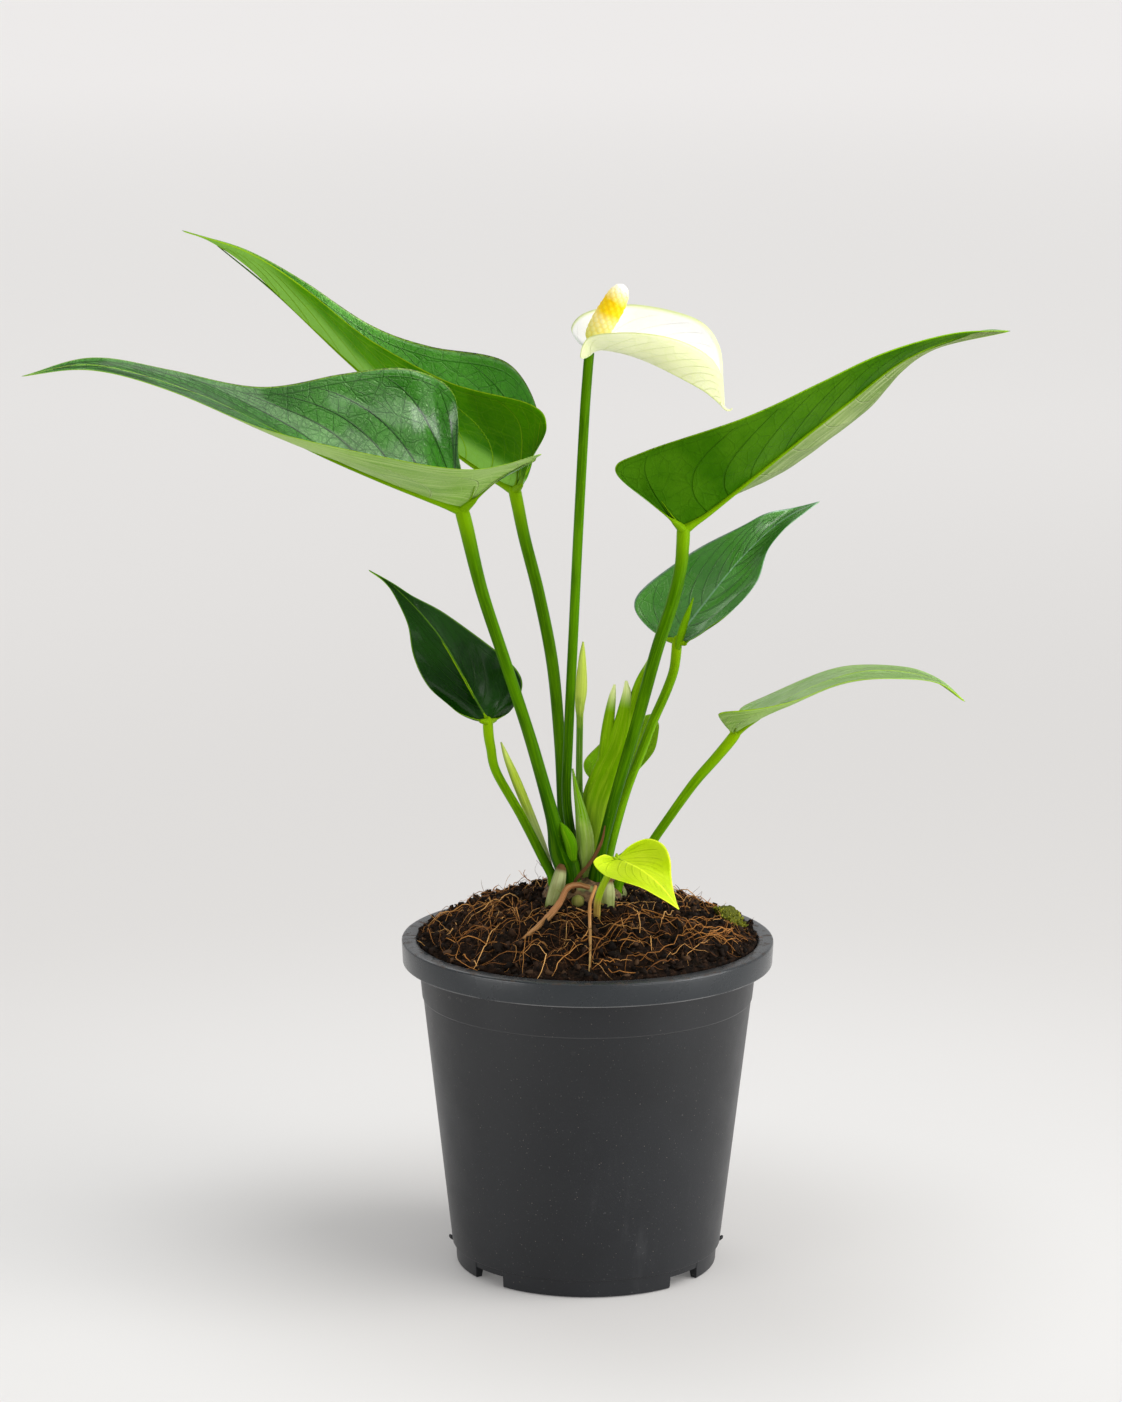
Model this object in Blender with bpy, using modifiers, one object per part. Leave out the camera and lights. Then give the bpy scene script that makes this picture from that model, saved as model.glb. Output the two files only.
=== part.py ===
"""Potted anthurium: one white flower, eight leaves and new shoots in a filled nursery pot.

Metres, Z up. The origin is the middle of the pot's foot, the front is -Y. The lists below are in millimetres.
"""

import math

import bmesh
import bpy
import numpy as np

MM = 0.001

# Pot
RIM_RADIUS = 65.0
POT_HEIGHT = 116.3
RIM_BAND = 8.2
LIP_WIDTH = 5.3
WALL_TOP_RADIUS = 59.1
WALL_FOOT_RADIUS = 47.3
FOOT_RADIUS = 45.9
FOOT_HEIGHT = 6.4
WALL = 1.6
STEP_BELOW_RIM = 12.5
FLOOR_TOP = 6.0
FLOOR_UNDER = 4.2
PAD_RADIUS = 12.5
NOTCH_ANGLES = (-48, 48, 132, 228)
NOTCH_WIDTH = 14.4
NOTCH_HEIGHT = 3.9
DRAIN_COUNT = 8
DRAIN_CIRCLE = 29.0
DRAIN_RADIUS = 3.0
POT_SEGMENTS = 36

# Soil and crown
SOIL_EDGE_Z = 117.5
SOIL_TOP_Z = 133.5
SOIL_SEGMENTS = 36
SOIL_RINGS = (59.2, 53, 45.5, 37.5, 29.5, 22, 14, 0)
CROWN_CENTRE = (-1.0, 0.0)
CROWN_RADIUS = 15.0
CROWN_BOTTOM = 125.0
CROWN_TOP = 138.2
CLEARANCE = 0.3
SOCKET_FLOOR = 129.0
CUT_TOP = 160.0
BED_MARGIN = 1.5 * CLEARANCE

# Blades
BLADE_THICKNESS = 0.7
SPATHE_THICKNESS = 0.8
MIDRIB_RADIUS = 1.2
SMALL_MIDRIB_RADIUS = 0.9
MIDRIB_TIP_RADIUS = 0.35
FLORET_DEPTH = 0.045
FLORET_RINGS = 16
# Where along the midrib, from 0 to 1, the vein to each margin point starts
VEIN_ROOTS = (0, 0, 0, 0.08, 0.22, 0.42, 0.62, 0.82, 1)

# Each leaf: its stalk from the blade down to its socket, the midrib from the stalk to the tip,
# and both margins from the notch beside the stalk, round the lobe, to near the tip
LEAVES = {
    "leaf_front_left": dict(
        stalk=[(-43.5, -10, 268), (-42, -10, 262), (-36.8, -10, 240.5), (-28.4, -9, 214.5),
               (-20, -7, 188), (-12.5, -4, 160.5), (-9.8, -2.8, 149), (-7.3, -3.6, 142.5),
               (-6.5, -4, 138.5), (-6.5, -4, 129.3)],
        radii=(2.5, 2.5, 2.15, 2.05, 2.1, 2.5, 4.0, 4.4, 3.9, 3.9),
        rib=[(-43.5, -10, 268.5), (-68.5, -20, 279.5), (-97, -30, 293.5), (-129.5, -38, 310.5),
             (-163.5, -44, 321), (-188, -46, 317.5)],
        left=[(-40.2, -14.5, 271.5), (-28.4, -24, 282.4), (-16.5, -30.5, 290), (-40, -51, 288.5),
              (-72, -55.5, 292.5), (-105.5, -54.5, 301.5), (-139, -46.5, 313), (-165, -45.5, 319.5)],
        right=[(-42.5, -2.5, 271.5), (-45, 3, 286.4), (-46.5, 4.5, 305.8), (-60, -10, 316),
               (-84, -17, 315.3), (-111, -20, 311.2), (-139.5, -34, 318.6), (-165, -43, 323.5)],
        sag_left=(0, 0.02, 0.05, 0), sag_right=(0.12, 0.15, 0.10, 0),
        bend_left=(0, 0.03, 0.07, 0.03, 0, 0, 0, 0, 0), rows=18, columns=4),
    "leaf_back_left": dict(
        stalk=[(-25.8, 14, 271.5), (-24.7, 14, 266), (-22.3, 14, 254.5), (-17.3, 13, 235), (-12.6, 12, 211),
               (-10, 11, 184), (-9, 9.5, 163), (-8.5, 7, 147), (-8.5, 6, 138.5), (-8.5, 6, 129.3)],
        radii=(2.3, 2.2, 2.1, 2.1, 2.1, 2.0, 1.9, 1.9, 2.0, 2.0),
        rib=[(-25.8, 14, 271.8), (-36, 20, 277.2), (-48.8, 28, 285.1), (-65.7, 38, 297.6), (-84.5, 48, 312.6),
             (-102.5, 56, 328), (-120.5, 63, 344), (-134.5, 67, 353), (-145, 70, 356.5)],
        left=[(-24, 9.5, 273.5), (-20.1, -2, 284.1), (-15.2, -6, 296.6), (-21, -4, 304.5),
              (-49.6, 9, 310), (-74.5, 26, 321.5), (-99, 48.5, 337.5), (-121, 59.5, 350)],
        right=[(-25.5, 18.5, 272.3), (-23.8, 29, 282), (-18, 33.5, 296.5), (-28.5, 41.5, 313),
               (-56.5, 54.5, 317), (-78.5, 62, 324.5), (-100.5, 61, 339), (-122, 68, 350)],
        sag_left=(0, 0.04, 0.06, 0), sag_right=(0.25, 0.35, 0.20, 0.05), rows=18, columns=4),
    "leaf_right": dict(
        stalk=[(32.5, 10, 258.5), (32.3, 9.5, 253), (31.5, 8, 245), (28.5, 5, 233), (23.5, 2, 218),
               (17, -1, 194), (10, -3, 169.5), (5, -4, 150), (3, -3.5, 138.5), (3, -3.5, 129.3)],
        radii=(2.4, 2.3, 2.2, 2.2, 2.2, 2.1, 2.0, 2.0, 2.8, 2.8),
        rib=[(32.5, 10, 259), (43.5, 13, 266.5), (56.5, 17, 276.5), (73, 22, 289), (88.5, 26, 300.5),
             (104.5, 31, 312.5), (116.5, 33, 319), (136, 37, 325), (147, 38, 325)],
        left=[(35, 15.5, 259), (39, 28.5, 263), (42, 39, 268.5), (47, 45.5, 271),
              (61.1, 44, 272.2), (78.6, 44, 281.6), (97.2, 41, 296.1), (114.8, 38.5, 316.1)],
        right=[(30, 5.5, 261.5), (18.2, -3, 272.1), (8.6, -2, 281.6), (18.5, 0, 287.4),
               (51, 0, 298), (78, 12.5, 309.5), (102, 22.5, 319), (127, 32, 325)],
        sag_left=(0.03, 0.05, 0.08, 0.08, 0), sag_right=(0, 0.03, 0.08, 0), rows=18, columns=4),
    "leaf_mid_right": dict(
        stalk=[(31, 24, 217), (30.8, 24, 213), (29.9, 23.6, 206.5), (27.2, 22.5, 199), (22.7, 20.5, 189),
               (19.3, 18, 180.4), (13.5, 12, 166), (8.5, 6, 149.5), (6.5, 3, 140), (6.5, 3, 136),
               (6.5, 3, 129.3)],
        radii=(1.8, 1.8, 1.7, 1.7, 1.7, 1.7, 1.6, 1.7, 1.8, 1.8, 1.8),
        rib=[(31, 24, 217.5), (39, 29, 227.5), (53.5, 38, 244), (68, 45, 256.5), (82, 50, 263)],
        left=[(28, 26.5, 217), (21, 29.5, 221), (16, 33, 227.5), (20, 36.5, 234.5),
              (36, 44.5, 245), (53.5, 42, 255), (63.5, 42.5, 260), (73, 49, 261)],
        right=[(33.5, 21, 216.5), (37, 16.5, 220), (41, 15.5, 223), (48.5, 15, 228),
               (59, 30, 238), (63.5, 35.5, 247.5), (69, 41, 254.5), (76, 46, 259)],
        sag_left=(0.10, 0.10, 0.08, 0), sag_right=(0.10, 0.10, 0.08, 0), rows=12, columns=3),
    "leaf_mid_left": dict(
        stalk=[(-35, 8, 191), (-34.8, 8, 187), (-34, 8, 182), (-32, 7, 173.5), (-23.5, 4, 159),
               (-15.5, 0.5, 144), (-12.4, -0.5, 137.5), (-12.2, -0.5, 129.3)],
        radii=(1.8, 1.8, 1.7, 1.6, 1.6, 1.7, 1.7, 1.7),
        rib=[(-35, 8, 191.5), (-39.5, 8, 199.5), (-51.5, 8, 221), (-66, 10, 237), (-76.5, 12, 244)],
        left=[(-37, 4.5, 192), (-41.5, -1.5, 195), (-47.5, 0, 197.5), (-55, 5.5, 203.5),
              (-61, 8, 215), (-63, 8, 225.5), (-66.5, 8.5, 234), (-71, 10, 240)],
        right=[(-33, 11.5, 191), (-27.5, 17, 193), (-23.5, 15, 200), (-24.5, 16, 207.5),
               (-35.5, 22.5, 216.5), (-50, 18, 227.5), (-61.5, 10, 235.5), (-69.5, 10.5, 240.5)],
        sag_left=(0.10, 0.10, 0.08, 0), sag_right=(0.10, 0.10, 0.08, 0), rows=12, columns=3),
    "leaf_low_right": dict(
        stalk=[(50.5, -8, 190.5), (48, -8, 187), (43.5, -8, 181.5), (36, -8, 172.5), (25.5, -7, 157),
               (18, -6, 145.5), (11.8, -5, 138.5), (10.2, -4.5, 134.5), (10.2, -4.5, 129.3)],
        radii=(1.9, 1.9, 1.8, 1.7, 1.6, 1.6, 1.7, 1.8, 1.8),
        rib=[(50.5, -8, 191), (60.5, -14, 199.5), (76, -18, 209), (95, -20, 215), (114.5, -20, 213),
             (128.5, -18, 204)],
        left=[(51, -5.5, 192), (52, 1.5, 193.5), (52.5, 6, 196), (58, 6, 200),
              (73.5, -3.5, 208.5), (89.5, -12.5, 215.5), (107.5, -17, 216), (120, -18, 211.5)],
        right=[(49, -10, 192.5), (46.5, -15, 196.5), (44.5, -19.5, 200), (53, -27.5, 202.5),
               (69.5, -30, 207), (88.5, -27.5, 212.5), (107.5, -23.5, 213), (120, -21, 210.5)],
        sag_left=(0.12, 0.12, 0.06, 0), sag_right=(0.12, 0.12, 0.06, 0), rows=12, columns=3),
    "leaf_new_front": dict(
        stalk=[(9.5, -38, 153), (6.8, -36.8, 147.5), (4.6, -33.4, 142), (3.2, -28.6, 136), (3, -26.6, 131),
               (3, -26.5, 121)],
        radii=(0.9, 1.2, 1.2, 1.2, 1.2, 1.2),
        rib=[(9.5, -38, 153.5), (17.5, -44, 151), (24.5, -48, 146), (30.5, -50, 138.5)],
        left=[(10.5, -36.5, 154), (14.5, -37, 158), (20, -36.5, 160), (25, -38.5, 158.5),
              (27.5, -41.5, 154.5), (28, -41.5, 148.5), (28.5, -45, 145), (29.5, -47.5, 141)],
        right=[(8.5, -39.5, 154), (5, -44, 156), (1.5, -48.5, 154.5), (4.5, -53, 151.5),
               (12, -54, 149), (18, -53, 146.5), (22.5, -52.5, 144), (26.5, -52, 141.5)],
        sag_left=(0.12, 0.12, 0.06, 0), sag_right=(0.12, 0.12, 0.06, 0), rows=12, columns=3),
    "leaf_small_back": dict(
        stalk=[(7, 34, 159), (6.5, 31, 157), (6, 26, 153.5), (5, 16, 146.5), (4.5, 9.4, 140), (4.5, 8.5, 135),
               (4.5, 8.5, 129.3)],
        radii=(0.9, 1.1, 1.1, 1.1, 1.2, 1.2, 1.2),
        rib=[(7, 34, 159.5), (8.5, 38, 166), (13.5, 42, 174.5), (21.5, 46, 186.5)],
        left=[(5.5, 35, 160), (2.5, 40, 162.5), (-1, 42, 166.5), (-1, 42.5, 170.5),
              (3.5, 45.5, 175), (9.5, 44, 180.5), (14, 44.5, 183.5), (18, 45, 185.5)],
        right=[(8.5, 32.5, 159), (11.5, 28, 162.5), (15, 27.5, 167.5), (19.5, 32.5, 171),
               (24, 37, 176), (25.5, 40.5, 182.5), (24.5, 42.5, 185.5), (23.5, 44.5, 187)],
        sag_left=(0.12, 0.12, 0.10, 0), sag_right=(0.12, 0.12, 0.10, 0), rows=12, columns=3),
}
# A small folded scale stands at the top of the stalk of leaf_mid_right
FOLDED_SCALE = dict(points=[(31.2, 23, 214), (32.2, 21, 219), (34, 20, 225.5), (36.5, 19, 233.5)],
                    radii=(0.9, 1.5, 1.3, 0.2), flat=0.5)
# The swollen foot of the front left stalk ends in a pointed ear on its right
STALK_EAR = dict(points=[(-9.7, -5.2, 158.4), (-8.0, -6.0, 155.6), (-6.0, -6.4, 151), (-5.4, -6, 145)],
                 radii=(0.3, 1.6, 2.2, 1.5), flat=0.7)

SPATHE = dict(
    rib=[(2, -6, 324), (14.5, -9, 321), (24.5, -11, 317), (37, -12, 310.5), (44.5, -12, 304.5), (48, -12, 304)],
    left=[(1, -3.5, 325.5), (-3, 2.5, 324), (-6.5, 5.5, 329), (-1, 5.5, 334.5),
          (15, 5, 337), (35, -5, 333.5), (43.5, -9, 325), (46, -9.5, 312)],
    right=[(1, -7.5, 322.5), (-1, -11.5, 321), (-3.5, -16.5, 321.5), (-0.5, -19.5, 328.5),
           (11.5, -24.5, 330.5), (27, -23, 328.5), (38, -15.5, 323), (44, -12.5, 315.5)],
    sag_left=(0.12, 0.12, 0.12, 0), sag_right=(0.12, 0.12, 0.12, 0), rows=16, columns=4)

FLOWER_STALK = dict(
    points=[(-0.4, -6, 321.6), (-1, -5.6, 314), (-2, -5, 298.5), (-4, -2, 257), (-5.5, 0, 221.5), (-7, 2, 186),
            (-7.5, 3, 164.5), (-5, 4, 147), (-3.5, 4, 138.5), (-3.5, 4, 129.3)],
    radii=(1.7, 1.7, 1.7, 1.7, 1.7, 1.7, 1.7, 1.8, 1.9, 1.9))
SPADIX = dict(
    points=[(1.7, -6.6, 325.0), (2.4, -6.9, 327.2), (4.5, -7.1, 332), (7.4, -7.5, 337.6), (9.4, -7.8, 341.6),
            (10.5, -8, 344.0), (10.9, -8.1, 344.9)],
    radii=(1.4, 3.2, 4.0, 4.1, 3.6, 2.2, 0.6))

# Other stems, shoots and roots: flat is the depth of the section over its width
STEMS = {
    "flower_bud": dict(
        points=[(-2, 9, 219.5), (-2.3, 9, 213), (-2.5, 9, 203), (-3, 9, 196), (-3, 9, 191), (-3, 9, 166.5),
                (-1, 9, 147), (0.5, 8.5, 138.5), (0.5, 8.5, 129.3)],
        radii=(0.3, 1.4, 2.1, 1.6, 1.2, 1.2, 1.2, 1.2, 1.2)),
    "cataphyll_left": dict(
        points=[(-30.5, 10.5, 183.5), (-28.5, 10, 178), (-25, 9, 169.5), (-20.5, 8, 158.5), (-15.8, 6.4, 147),
                (-13.2, 4.6, 138.5), (-13, 4.4, 129.3)],
        radii=(0.3, 1.2, 1.8, 1.8, 1.5, 1.3, 1.3), flat=0.7),
    "cataphyll_front": dict(
        points=[(-5.5, -0.6, 176.5), (-4.5, -0.6, 169), (-3.4, -0.6, 161), (-2.6, -0.8, 153), (-1.8, -1.1, 146),
                (-1.4, -1.1, 138.5), (-1.4, -1.1, 129.3)],
        radii=(0.3, 1.1, 2.0, 2.7, 2.2, 1.0, 1.0), flat=0.4),
    "root_stub_left": dict(
        points=[(-9.4, -11.2, 143.4), (-10.8, -12.4, 137.5), (-12.8, -14.0, 130.5), (-13.0, -14.0, 124)],
        radii=(1.7, 2.5, 2.2, 2.1)),
    "root_stub_front": dict(
        points=[(7, -19.5, 141.5), (6.6, -20, 137), (6.6, -20.4, 132), (6.8, -21, 125)],
        radii=(1.3, 2.4, 2.3, 2.0)),
    "aerial_root_thin": dict(
        points=[(2.6, -20.5, 139.4), (0.6, -27.5, 134.6), (0.6, -38, 127.6), (0.6, -48, 121.6),
                (0.2, -55.5, 117.9)],
        radii=(0.6, 0.6, 0.5, 0.4, 0.25)),
    "aerial_root_thick": dict(
        points=[(0.4, -13.4, 137.2), (-3.8, -15.4, 138.6), (-7.2, -18.2, 138.0), (-9.6, -22.5, 134.4),
                (-13.0, -27, 130.8), (-17.0, -31.2, 127.9), (-22.0, -36, 124.7)],
        radii=(0.9, 1.05, 1.1, 1.15, 1.2, 1.0, 0.6)),
    "dried_sheath": dict(
        points=[(5.8, -8.4, 158), (4.6, -9.2, 152.5), (1.2, -10.4, 146), (-2.8, -11.2, 141.2),
                (-4.9, -11.3, 137.5), (-5.2, -11.2, 129.3)],
        radii=(0.4, 0.9, 1.1, 1.1, 0.9, 0.9), flat=0.6),
}
# The rolled new leaves and the pale sheath round them grow as one shoot
NEW_SHOOT = [
    dict(points=[(13, 5, 206.5), (13, 5, 200), (10.5, 5, 185.5), (6.5, 5, 175), (2.8, 4, 164.5), (1.8, 3, 154),
                 (1.4, 2.4, 145), (1.3, 2.3, 138.5), (1.3, 2.3, 129.3)],
         radii=(0.3, 1.4, 3.2, 4.0, 4.3, 3.2, 2.2, 2.0, 2.0), flat=0.55),
    dict(points=[(9.0, 6, 205), (8.0, 6, 199.5), (6.5, 5.6, 189), (5.2, 5, 176), (4, 4.4, 166)],
         radii=(0.3, 1.2, 2.0, 2.2, 1.6), flat=0.6),
    dict(points=[(23, 6, 218), (21, 6, 212), (18, 6, 205), (15, 6, 195.5), (11.5, 6, 183.5), (7.5, 5, 169.5)],
         radii=(0.3, 1.4, 2.1, 2.2, 2.0, 1.4), flat=0.7),
]
ROOT_BUD = dict(centre=(-3.5, -18.6, 133.6), radius=2.2)
MOSS = dict(centre=(50.0, 5.0), radius=5.4, height=3.2)
SOCKETS = {
    "leaf_front_left": 3.9, "leaf_back_left": 2.0, "leaf_right": 2.8, "leaf_mid_right": 1.8,
    "leaf_mid_left": 1.7, "leaf_low_right": 1.8, "leaf_small_back": 1.2,
}

COLOURS = {
    "pot": (0.035, 0.038, 0.043), "soil": (0.045, 0.024, 0.014), "crown": (0.16, 0.13, 0.05),
    "blade": (0.045, 0.20, 0.03), "new blade": (0.42, 0.62, 0.03), "spathe": (0.86, 0.88, 0.72),
    "spadix": (0.85, 0.66, 0.25), "stalk": (0.12, 0.30, 0.02), "pale shoot": (0.45, 0.60, 0.16),
    "root": (0.30, 0.15, 0.06), "moss": (0.10, 0.18, 0.03),
}


def smooth(points, t):
    """Points on a smooth curve through the given ones, for t from 0 to 1."""
    rows = np.asarray(points, float)
    if rows.ndim == 1:
        rows = rows[:, None]
    rows = np.vstack([2 * rows[0] - rows[1], rows, 2 * rows[-1] - rows[-2]])
    spans = len(rows) - 3
    place = np.clip(np.atleast_1d(t), 0, 1) * spans
    first = np.minimum(place.astype(int), spans - 1)
    f = (place - first)[:, None]
    a, b, c, d = (rows[first + k] for k in range(4))
    return 0.5 * (2 * b + (c - a) * f + (2 * a - 5 * b + 4 * c - d) * f**2 + (3 * b - a - 3 * c + d) * f**3)


def unit(vectors):
    return vectors / np.maximum(np.linalg.norm(vectors, axis=-1, keepdims=True), 1e-9)


def material(name):
    made = bpy.data.materials.get(name)
    if made is None:
        made = bpy.data.materials.new(name)
        made.use_nodes = True
        shader = made.node_tree.nodes["Principled BSDF"]
        shader.inputs["Base Color"].default_value = (*COLOURS[name], 1)
        shader.inputs["Roughness"].default_value = 0.5
    return made


def add_object(name, points, faces, look, helper=False):
    """A mesh object from millimetre points. A helper goes to the cutters collection, out of the render."""
    mesh = bpy.data.meshes.new(name)
    mesh.from_pydata([tuple(p) for p in np.asarray(points, float) * MM], [], [tuple(f) for f in faces])
    obj = bpy.data.objects.new(name, mesh)
    mesh.materials.append(material(look))
    bpy.data.collections["cutters" if helper else "potted_anthurium"].objects.link(obj)
    if helper:
        obj.hide_render = True
        obj.display_type = "WIRE"
    return obj


def apply_modifiers(obj):
    graph = bpy.context.evaluated_depsgraph_get()
    graph.update()
    mesh = bpy.data.meshes.new_from_object(obj.evaluated_get(graph))
    obj.modifiers.clear()
    obj.data = mesh


def combine(obj, others, operation="UNION", solver="MANIFOLD"):
    """One Boolean with each of the others, applied, and the others removed."""
    for other in others:
        step = obj.modifiers.new(operation.title(), "BOOLEAN")
        step.operation = operation
        step.solver = solver
        step.object = other
    bpy.context.view_layer.update()
    apply_modifiers(obj)
    for other in others:
        bpy.data.objects.remove(other)


def lathe(profile, segments, centre=(0, 0), lift=None):
    """Points and faces of a closed body turned about a vertical axis. lift(x, y, index) moves a point up."""
    points, rings = [], []
    for index, (radius, z) in enumerate(profile):
        count = 1 if radius == 0 else segments
        rings.append(list(range(len(points), len(points) + count)))
        for k in range(count):
            angle = 2 * math.pi * k / segments
            x = centre[0] + radius * math.cos(angle)
            y = centre[1] + radius * math.sin(angle)
            points.append((x, y, z + (lift(x, y, index) if lift else 0)))
    faces = []
    for low, high in zip(rings, rings[1:]):
        for k in range(segments):
            j = (k + 1) % segments
            if len(low) == 1:
                faces.append((low[0], high[j], high[k]))
            elif len(high) == 1:
                faces.append((low[k], low[j], high[0]))
            else:
                faces += [(low[k], low[j], high[j]), (low[k], high[j], high[k])]
    return points, faces


def tube(points, radii, sides=8, rings=14, flat=1.0, relief=None):
    """Points and faces of a closed tapered tube, wide across the front view.

    relief(t, sides) scales the radius of each ring and side.
    """
    t = np.linspace(0, 1, rings + 1)
    centres = smooth(points, t)
    radius = smooth(radii, t)[:, 0]
    along = unit(np.gradient(centres, axis=0))
    wide = unit(np.cross(along, (0.0, 1.0, 0.0)))
    deep = np.cross(wide, along)
    angles = 2 * math.pi * np.arange(sides) / sides
    r = radius[:, None] * (relief(t, sides) if relief else np.ones((1, sides)))
    ring = np.cos(angles)[:, None] * wide[:, None] + flat * np.sin(angles)[:, None] * deep[:, None]
    made = centres[:, None] + r[..., None] * ring
    vertices = np.vstack([made.reshape(-1, 3), centres[:1], centres[-1:]])
    first, last = len(vertices) - 2, len(vertices) - 1
    faces = []
    for i in range(rings):
        for k in range(sides):
            j = (k + 1) % sides
            faces.append((i * sides + k, i * sides + j, (i + 1) * sides + j, (i + 1) * sides + k))
    for k in range(sides):
        j = (k + 1) % sides
        faces.append((first, j, k))
        faces.append((last, rings * sides + k, rings * sides + j))
    return vertices, [face[::-1] for face in faces]


def half_blade(leaf, side):
    """A grid of points of one half, rows from the notch to the tip, columns from midrib to margin."""
    rows, columns = leaf["rows"], leaf["columns"]
    name = "left" if side < 0 else "right"
    v = np.linspace(0, 1, rows + 1)
    root = np.interp(v, np.linspace(0, 1, len(VEIN_ROOTS)), VEIN_ROOTS)
    dense = smooth(leaf["rib"], np.linspace(0, 1, 400))
    length = np.r_[0, np.cumsum(np.linalg.norm(np.diff(dense, axis=0), axis=1))]
    along = unit(np.gradient(dense, axis=0))
    pick = lambda values: np.stack([np.interp(root, length / length[-1], values[:, k]) for k in range(3)], 1)
    start, direction = pick(dense), unit(pick(along))
    margin = smooth(leaf[name] + [leaf["rib"][-1]], v)
    across = margin - start
    width = np.linalg.norm(across, axis=1)
    upward = side * unit(np.cross(across, direction))
    sag = smooth(leaf["sag_" + name], v)[:, 0] * width
    bend = smooth(leaf.get("bend_" + name, (0, 0)), v)[:, 0] * width
    forward = side * unit(np.cross(upward, across))
    u = np.linspace(0, 1, columns + 1)
    arch = (4 * u * (1 - u))[None, :, None]
    grid = start[:, None] + across[:, None] * u[None, :, None]
    return grid + arch * (bend[:, None] * forward - sag[:, None] * upward)[:, None], upward


def blade(name, leaf, thickness, look, helper=False):
    """A thin closed blade, its grid split into triangles before it is given its thickness."""
    left, left_up = half_blade(leaf, -1)
    right, right_up = half_blade(leaf, 1)
    grid = np.concatenate([left[:, :0:-1], right], axis=1)
    rows, width = grid.shape[0] - 1, grid.shape[1]
    faces = []
    for i in range(rows):
        for j in range(width - 1):
            a, b = i * width + j, i * width + j + 1
            c, d = b + width, a + width
            if j < width // 2:
                faces += [(a, b, c), (a, c, d)]
            else:
                faces += [(a, b, d), (b, c, d)]
    obj = add_object(name, grid.reshape(-1, 3), faces, look, helper)
    sheet = bmesh.new()
    sheet.from_mesh(obj.data)
    bmesh.ops.remove_doubles(sheet, verts=sheet.verts, dist=0.02 * MM)
    sheet.to_mesh(obj.data)
    sheet.free()
    thicken = obj.modifiers.new("Thickness", "SOLIDIFY")
    thicken.thickness = thickness * MM
    thicken.offset = 0
    apply_modifiers(obj)
    return obj, left[:, 0], unit(left_up + right_up)


def midrib(leaf, rib, upward):
    """The raised midrib under a blade, as a helper: a slim tapered tube along it."""
    keep = [k for k in range(len(rib)) if k == 0 or np.linalg.norm(rib[k] - rib[k - 1]) > 0.5]
    points = (rib - upward * BLADE_THICKNESS / 2)[keep][:-2]
    size = MIDRIB_RADIUS if leaf["rows"] > 16 else SMALL_MIDRIB_RADIUS
    radii = np.linspace(size, MIDRIB_TIP_RADIUS, len(points))
    return add_object("midrib", *tube(points, radii, 5, 7), "stalk", helper=True)


def add_leaf(name, leaf, look):
    obj, rib, upward = blade(name, leaf, BLADE_THICKNESS, look)
    parts = [add_object("stalk", *tube(leaf["stalk"], leaf["radii"], 8, 12), "stalk", helper=True)]
    parts.append(midrib(leaf, rib, upward))
    if name == "leaf_mid_right":
        parts.append(add_object("scale", *tube(**FOLDED_SCALE, sides=6, rings=5), "stalk", helper=True))
    if name == "leaf_front_left":
        parts.append(add_object("ear", *tube(**STALK_EAR, sides=6, rings=5), "stalk", helper=True))
    combine(obj, parts)
    return obj


def pot_profile():
    """Outline of the pot in radius and height, from the axis at the foot round to the axis inside."""
    rim_bottom = POT_HEIGHT - RIM_BAND
    step = rim_bottom - STEP_BELOW_RIM
    slope = (WALL_TOP_RADIUS - WALL_FOOT_RADIUS) / (rim_bottom - FOOT_HEIGHT)
    at = lambda z: WALL_FOOT_RADIUS + slope * (z - FOOT_HEIGHT)
    inner = RIM_RADIUS - LIP_WIDTH
    return [
        (0, 0), (PAD_RADIUS - 0.5, 0), (PAD_RADIUS, 0.5), (PAD_RADIUS, FLOOR_UNDER),
        (FOOT_RADIUS - 3.2, FLOOR_UNDER), (FOOT_RADIUS - 2.4, 0), (FOOT_RADIUS - 0.4, 0), (FOOT_RADIUS, 0.4),
        (FOOT_RADIUS + 0.3, FOOT_HEIGHT - 0.3), (WALL_FOOT_RADIUS, FOOT_HEIGHT + 0.1),
        (at(step) - 0.2, step - 0.2), (at(step) + 0.2, step + 0.2),
        (WALL_TOP_RADIUS, rim_bottom), (WALL_TOP_RADIUS + 0.2, POT_HEIGHT - 2.2),
        (RIM_RADIUS - 1.8, POT_HEIGHT - 2.2), (RIM_RADIUS - 1.6, rim_bottom), (RIM_RADIUS - 0.4, rim_bottom),
        (RIM_RADIUS, POT_HEIGHT - 0.7), (RIM_RADIUS - 0.7, POT_HEIGHT), (inner + 0.6, POT_HEIGHT),
        (inner, POT_HEIGHT - 0.7), (WALL_TOP_RADIUS - WALL, rim_bottom - 1),
        (WALL_FOOT_RADIUS - WALL, FLOOR_TOP + 0.8), (WALL_FOOT_RADIUS - WALL - 0.8, FLOOR_TOP), (0, FLOOR_TOP),
    ]


def box(name, size, place, turn, look="pot"):
    """A helper block whose middle is at place, turned about Z."""
    ends = [(-side / 2, side / 2) for side in size]
    corners = [(x, y, z) for x in ends[0] for y in ends[1] for z in ends[2]]
    cos, sin = math.cos(turn), math.sin(turn)
    points = [(place[0] + cos * x - sin * y, place[1] + sin * x + cos * y, place[2] + z) for x, y, z in corners]
    faces = [(0, 1, 3, 2), (4, 6, 7, 5), (0, 4, 5, 1), (2, 3, 7, 6), (0, 2, 6, 4), (1, 5, 7, 3)]
    return add_object(name, points, faces, look, helper=True)


def cylinder(name, radius, low, high, centre, segments=16):
    profile = [(0, low), (radius, low), (radius, high), (0, high)]
    return add_object(name, *lathe(profile, segments, centre), "pot", helper=True)


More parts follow.
